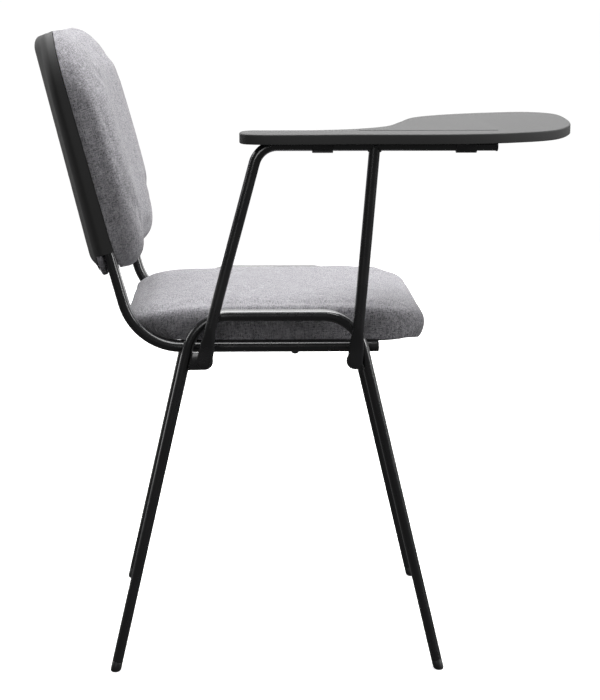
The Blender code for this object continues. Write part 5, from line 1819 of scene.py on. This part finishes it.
class CHAIR_OT_stage(Operator):
    """Set the pale floor, the backdrop, the lights and the camera"""

    bl_idname = "chair.set_stage"
    bl_label = "Stage, Lights and Camera"

    def execute(self, context):
        scene = context.scene
        pick = scene.chair_looks
        floor = add_disc("floor", FLOOR_RADIUS, FLOOR_LEVEL)
        floor.data.materials.append(stage_material("pale_floor", (0.80, 0.80, 0.80), pick.floor_glow))
        floor.visible_glossy = False
        floor.visible_diffuse = False
        backdrop = add_object("backdrop", block(*BACKDROP), offset=ORIGIN)
        backdrop.data.materials.append(stage_material("white_backdrop", (0.0, 0.0, 0.0), pick.backdrop_glow))
        backdrop.visible_diffuse = False
        world = bpy.data.worlds.new("studio")
        world.use_nodes = True
        background = world.node_tree.nodes["Background"]
        background.inputs["Color"].default_value = (1.0, 1.0, 1.0, 1.0)
        background.inputs["Strength"].default_value = pick.world_light
        scene.world = world
        for name, place, target, size in LIGHTS:
            add_area(name, place, target, size, getattr(pick, name))
        scene.view_settings.view_transform = "Standard"
        camera = bpy.data.objects.new("camera", bpy.data.cameras.new("camera"))
        scene.collection.objects.link(camera)
        camera.data.lens = CAMERA_LENS
        camera.data.sensor_width = 36.0
        camera.data.dof.use_dof = False
        camera.location = Vector(CAMERA_PLACE) + MIDDLE
        camera.rotation_euler = Vector(CAMERA_WAY).to_track_quat("-Z", "Y").to_euler()
        scene.camera = camera
        return {"FINISHED"}


class ChairLooks(PropertyGroup):
    """Sizes, colours and light levels that a user may change before building"""

    steel_colour: FloatVectorProperty(
        name="Steel Colour",
        description="Colour of the powder-coated tube",
        subtype="COLOR",
        size=3,
        min=0,
        max=1,
        default=(0.014, 0.014, 0.015),
    )
    shell_colour: FloatVectorProperty(
        name="Shell Colour",
        description="Colour of the shell behind the back",
        subtype="COLOR",
        size=3,
        min=0,
        max=1,
        default=(0.070, 0.070, 0.074),
    )
    tablet_colour: FloatVectorProperty(
        name="Tablet Colour",
        description="Colour of the writing tablet",
        subtype="COLOR",
        size=3,
        min=0,
        max=1,
        default=(0.009, 0.0095, 0.011),
    )
    light_fibre: FloatVectorProperty(
        name="Light Fibre",
        description="Lightest colour spun into the cloth",
        subtype="COLOR",
        size=3,
        min=0,
        max=1,
        default=(0.56, 0.55, 0.58),
    )
    dark_fibre: FloatVectorProperty(
        name="Dark Fibre",
        description="Darkest colour spun into the cloth",
        subtype="COLOR",
        size=3,
        min=0,
        max=1,
        default=(0.075, 0.072, 0.082),
    )
    yarn_pitch: FloatProperty(
        name="Yarn Pitch",
        description="Distance between yarns of the cloth",
        subtype="DISTANCE",
        unit="LENGTH",
        default=0.0013,
        min=0.0005,
        max=0.005,
    )
    remesh_size: FloatProperty(
        name="Cushion Mesh Size",
        description="Size of a face of the cushions before the last subdivision",
        subtype="DISTANCE",
        unit="LENGTH",
        default=0.006,
        min=0.003,
        max=0.012,
    )
    pressure: FloatProperty(
        name="Cushion Pressure",
        description="Pressure that fills the cushions",
        default=4.0,
        min=0.0,
        max=20.0,
    )
    most_swell: FloatProperty(
        name="Most Swell",
        description="The most that pressure moves any point of a cushion",
        subtype="DISTANCE",
        unit="LENGTH",
        default=0.005,
        min=0.0,
        max=0.02,
    )
    seat_crown: FloatProperty(
        name="Seat Crown",
        description="Rise of the seat's middle over its edges",
        subtype="DISTANCE",
        unit="LENGTH",
        default=0.002,
        min=0.0,
        max=0.02,
    )
    back_crown: FloatProperty(
        name="Back Crown",
        description="Rise of the back's middle over its edges",
        subtype="DISTANCE",
        unit="LENGTH",
        default=0.017,
        min=0.0,
        max=0.02,
    )
    weld_spacing: FloatProperty(
        name="Weld Spacing",
        description="Distance between the scales of a weld bead",
        subtype="DISTANCE",
        unit="LENGTH",
        default=0.0011,
        min=0.0005,
        max=0.005,
    )
    weld_radius: FloatProperty(
        name="Weld Radius",
        description="Half the width of a weld bead",
        subtype="DISTANCE",
        unit="LENGTH",
        default=0.0013,
        min=0.0005,
        max=0.005,
    )
    seed: IntProperty(
        name="Seed",
        description="Seed of the small random differences",
        default=7,
        min=0,
    )
    top_light: FloatProperty(
        name="Top Light",
        description="Power of the light overhead",
        unit="POWER",
        default=250.0,
        min=0.0,
    )
    front_light: FloatProperty(
        name="Front Light",
        description="Power of the light in front of the chair",
        unit="POWER",
        default=78.0,
        min=0.0,
    )
    rear_light: FloatProperty(
        name="Rear Light",
        description="Power of the light behind the chair",
        unit="POWER",
        default=45.0,
        min=0.0,
    )
    world_light: FloatProperty(
        name="Room Light",
        description="Brightness of the room all round",
        default=0.085,
        min=0.0,
    )
    near_light: FloatProperty(
        name="Near Light",
        description="Power of the light on the tablet's side",
        unit="POWER",
        default=14.5,
        min=0.0,
    )
    backdrop_glow: FloatProperty(
        name="Backdrop Glow",
        description="Brightness of the white backdrop",
        default=1.02,
        min=0.0,
    )
    floor_glow: FloatProperty(
        name="Floor Glow",
        description="Brightness that the floor adds of its own",
        default=0.86,
        min=0.0,
    )


OPERATORS = (
    CHAIR_OT_frame,
    CHAIR_OT_mouldings,
    CHAIR_OT_arm,
    CHAIR_OT_screws,
    CHAIR_OT_seat,
    CHAIR_OT_back,
    CHAIR_OT_tablet,
    CHAIR_OT_stage,
)


class CHAIR_PT_panel(Panel):
    """The chair's pieces and their settings"""

    bl_idname = "CHAIR_PT_panel"
    bl_label = "Desk Chair"
    bl_space_type = "VIEW_3D"
    bl_region_type = "UI"
    bl_category = "Desk Chair"

    def draw(self, context):
        column = self.layout.column()
        for operator in OPERATORS:
            column.operator(operator.bl_idname)
        for name in ChairLooks.__annotations__:
            column.prop(context.scene.chair_looks, name)


CLASSES = (ChairLooks, *OPERATORS, CHAIR_PT_panel)


def register():
    for one in CLASSES:
        bpy.utils.register_class(one)
    bpy.types.Scene.chair_looks = PointerProperty(type=ChairLooks)


def unregister():
    del bpy.types.Scene.chair_looks
    for one in reversed(CLASSES):
        bpy.utils.unregister_class(one)


def main():
    register()
    bpy.ops.chair.build_frame()
    bpy.ops.chair.build_mouldings()
    bpy.ops.chair.build_arm()
    bpy.ops.chair.build_screws()
    bpy.ops.chair.build_seat()
    bpy.ops.chair.build_back()
    bpy.ops.chair.build_tablet()
    bpy.ops.chair.set_stage()


if __name__ == "__main__":
    main()
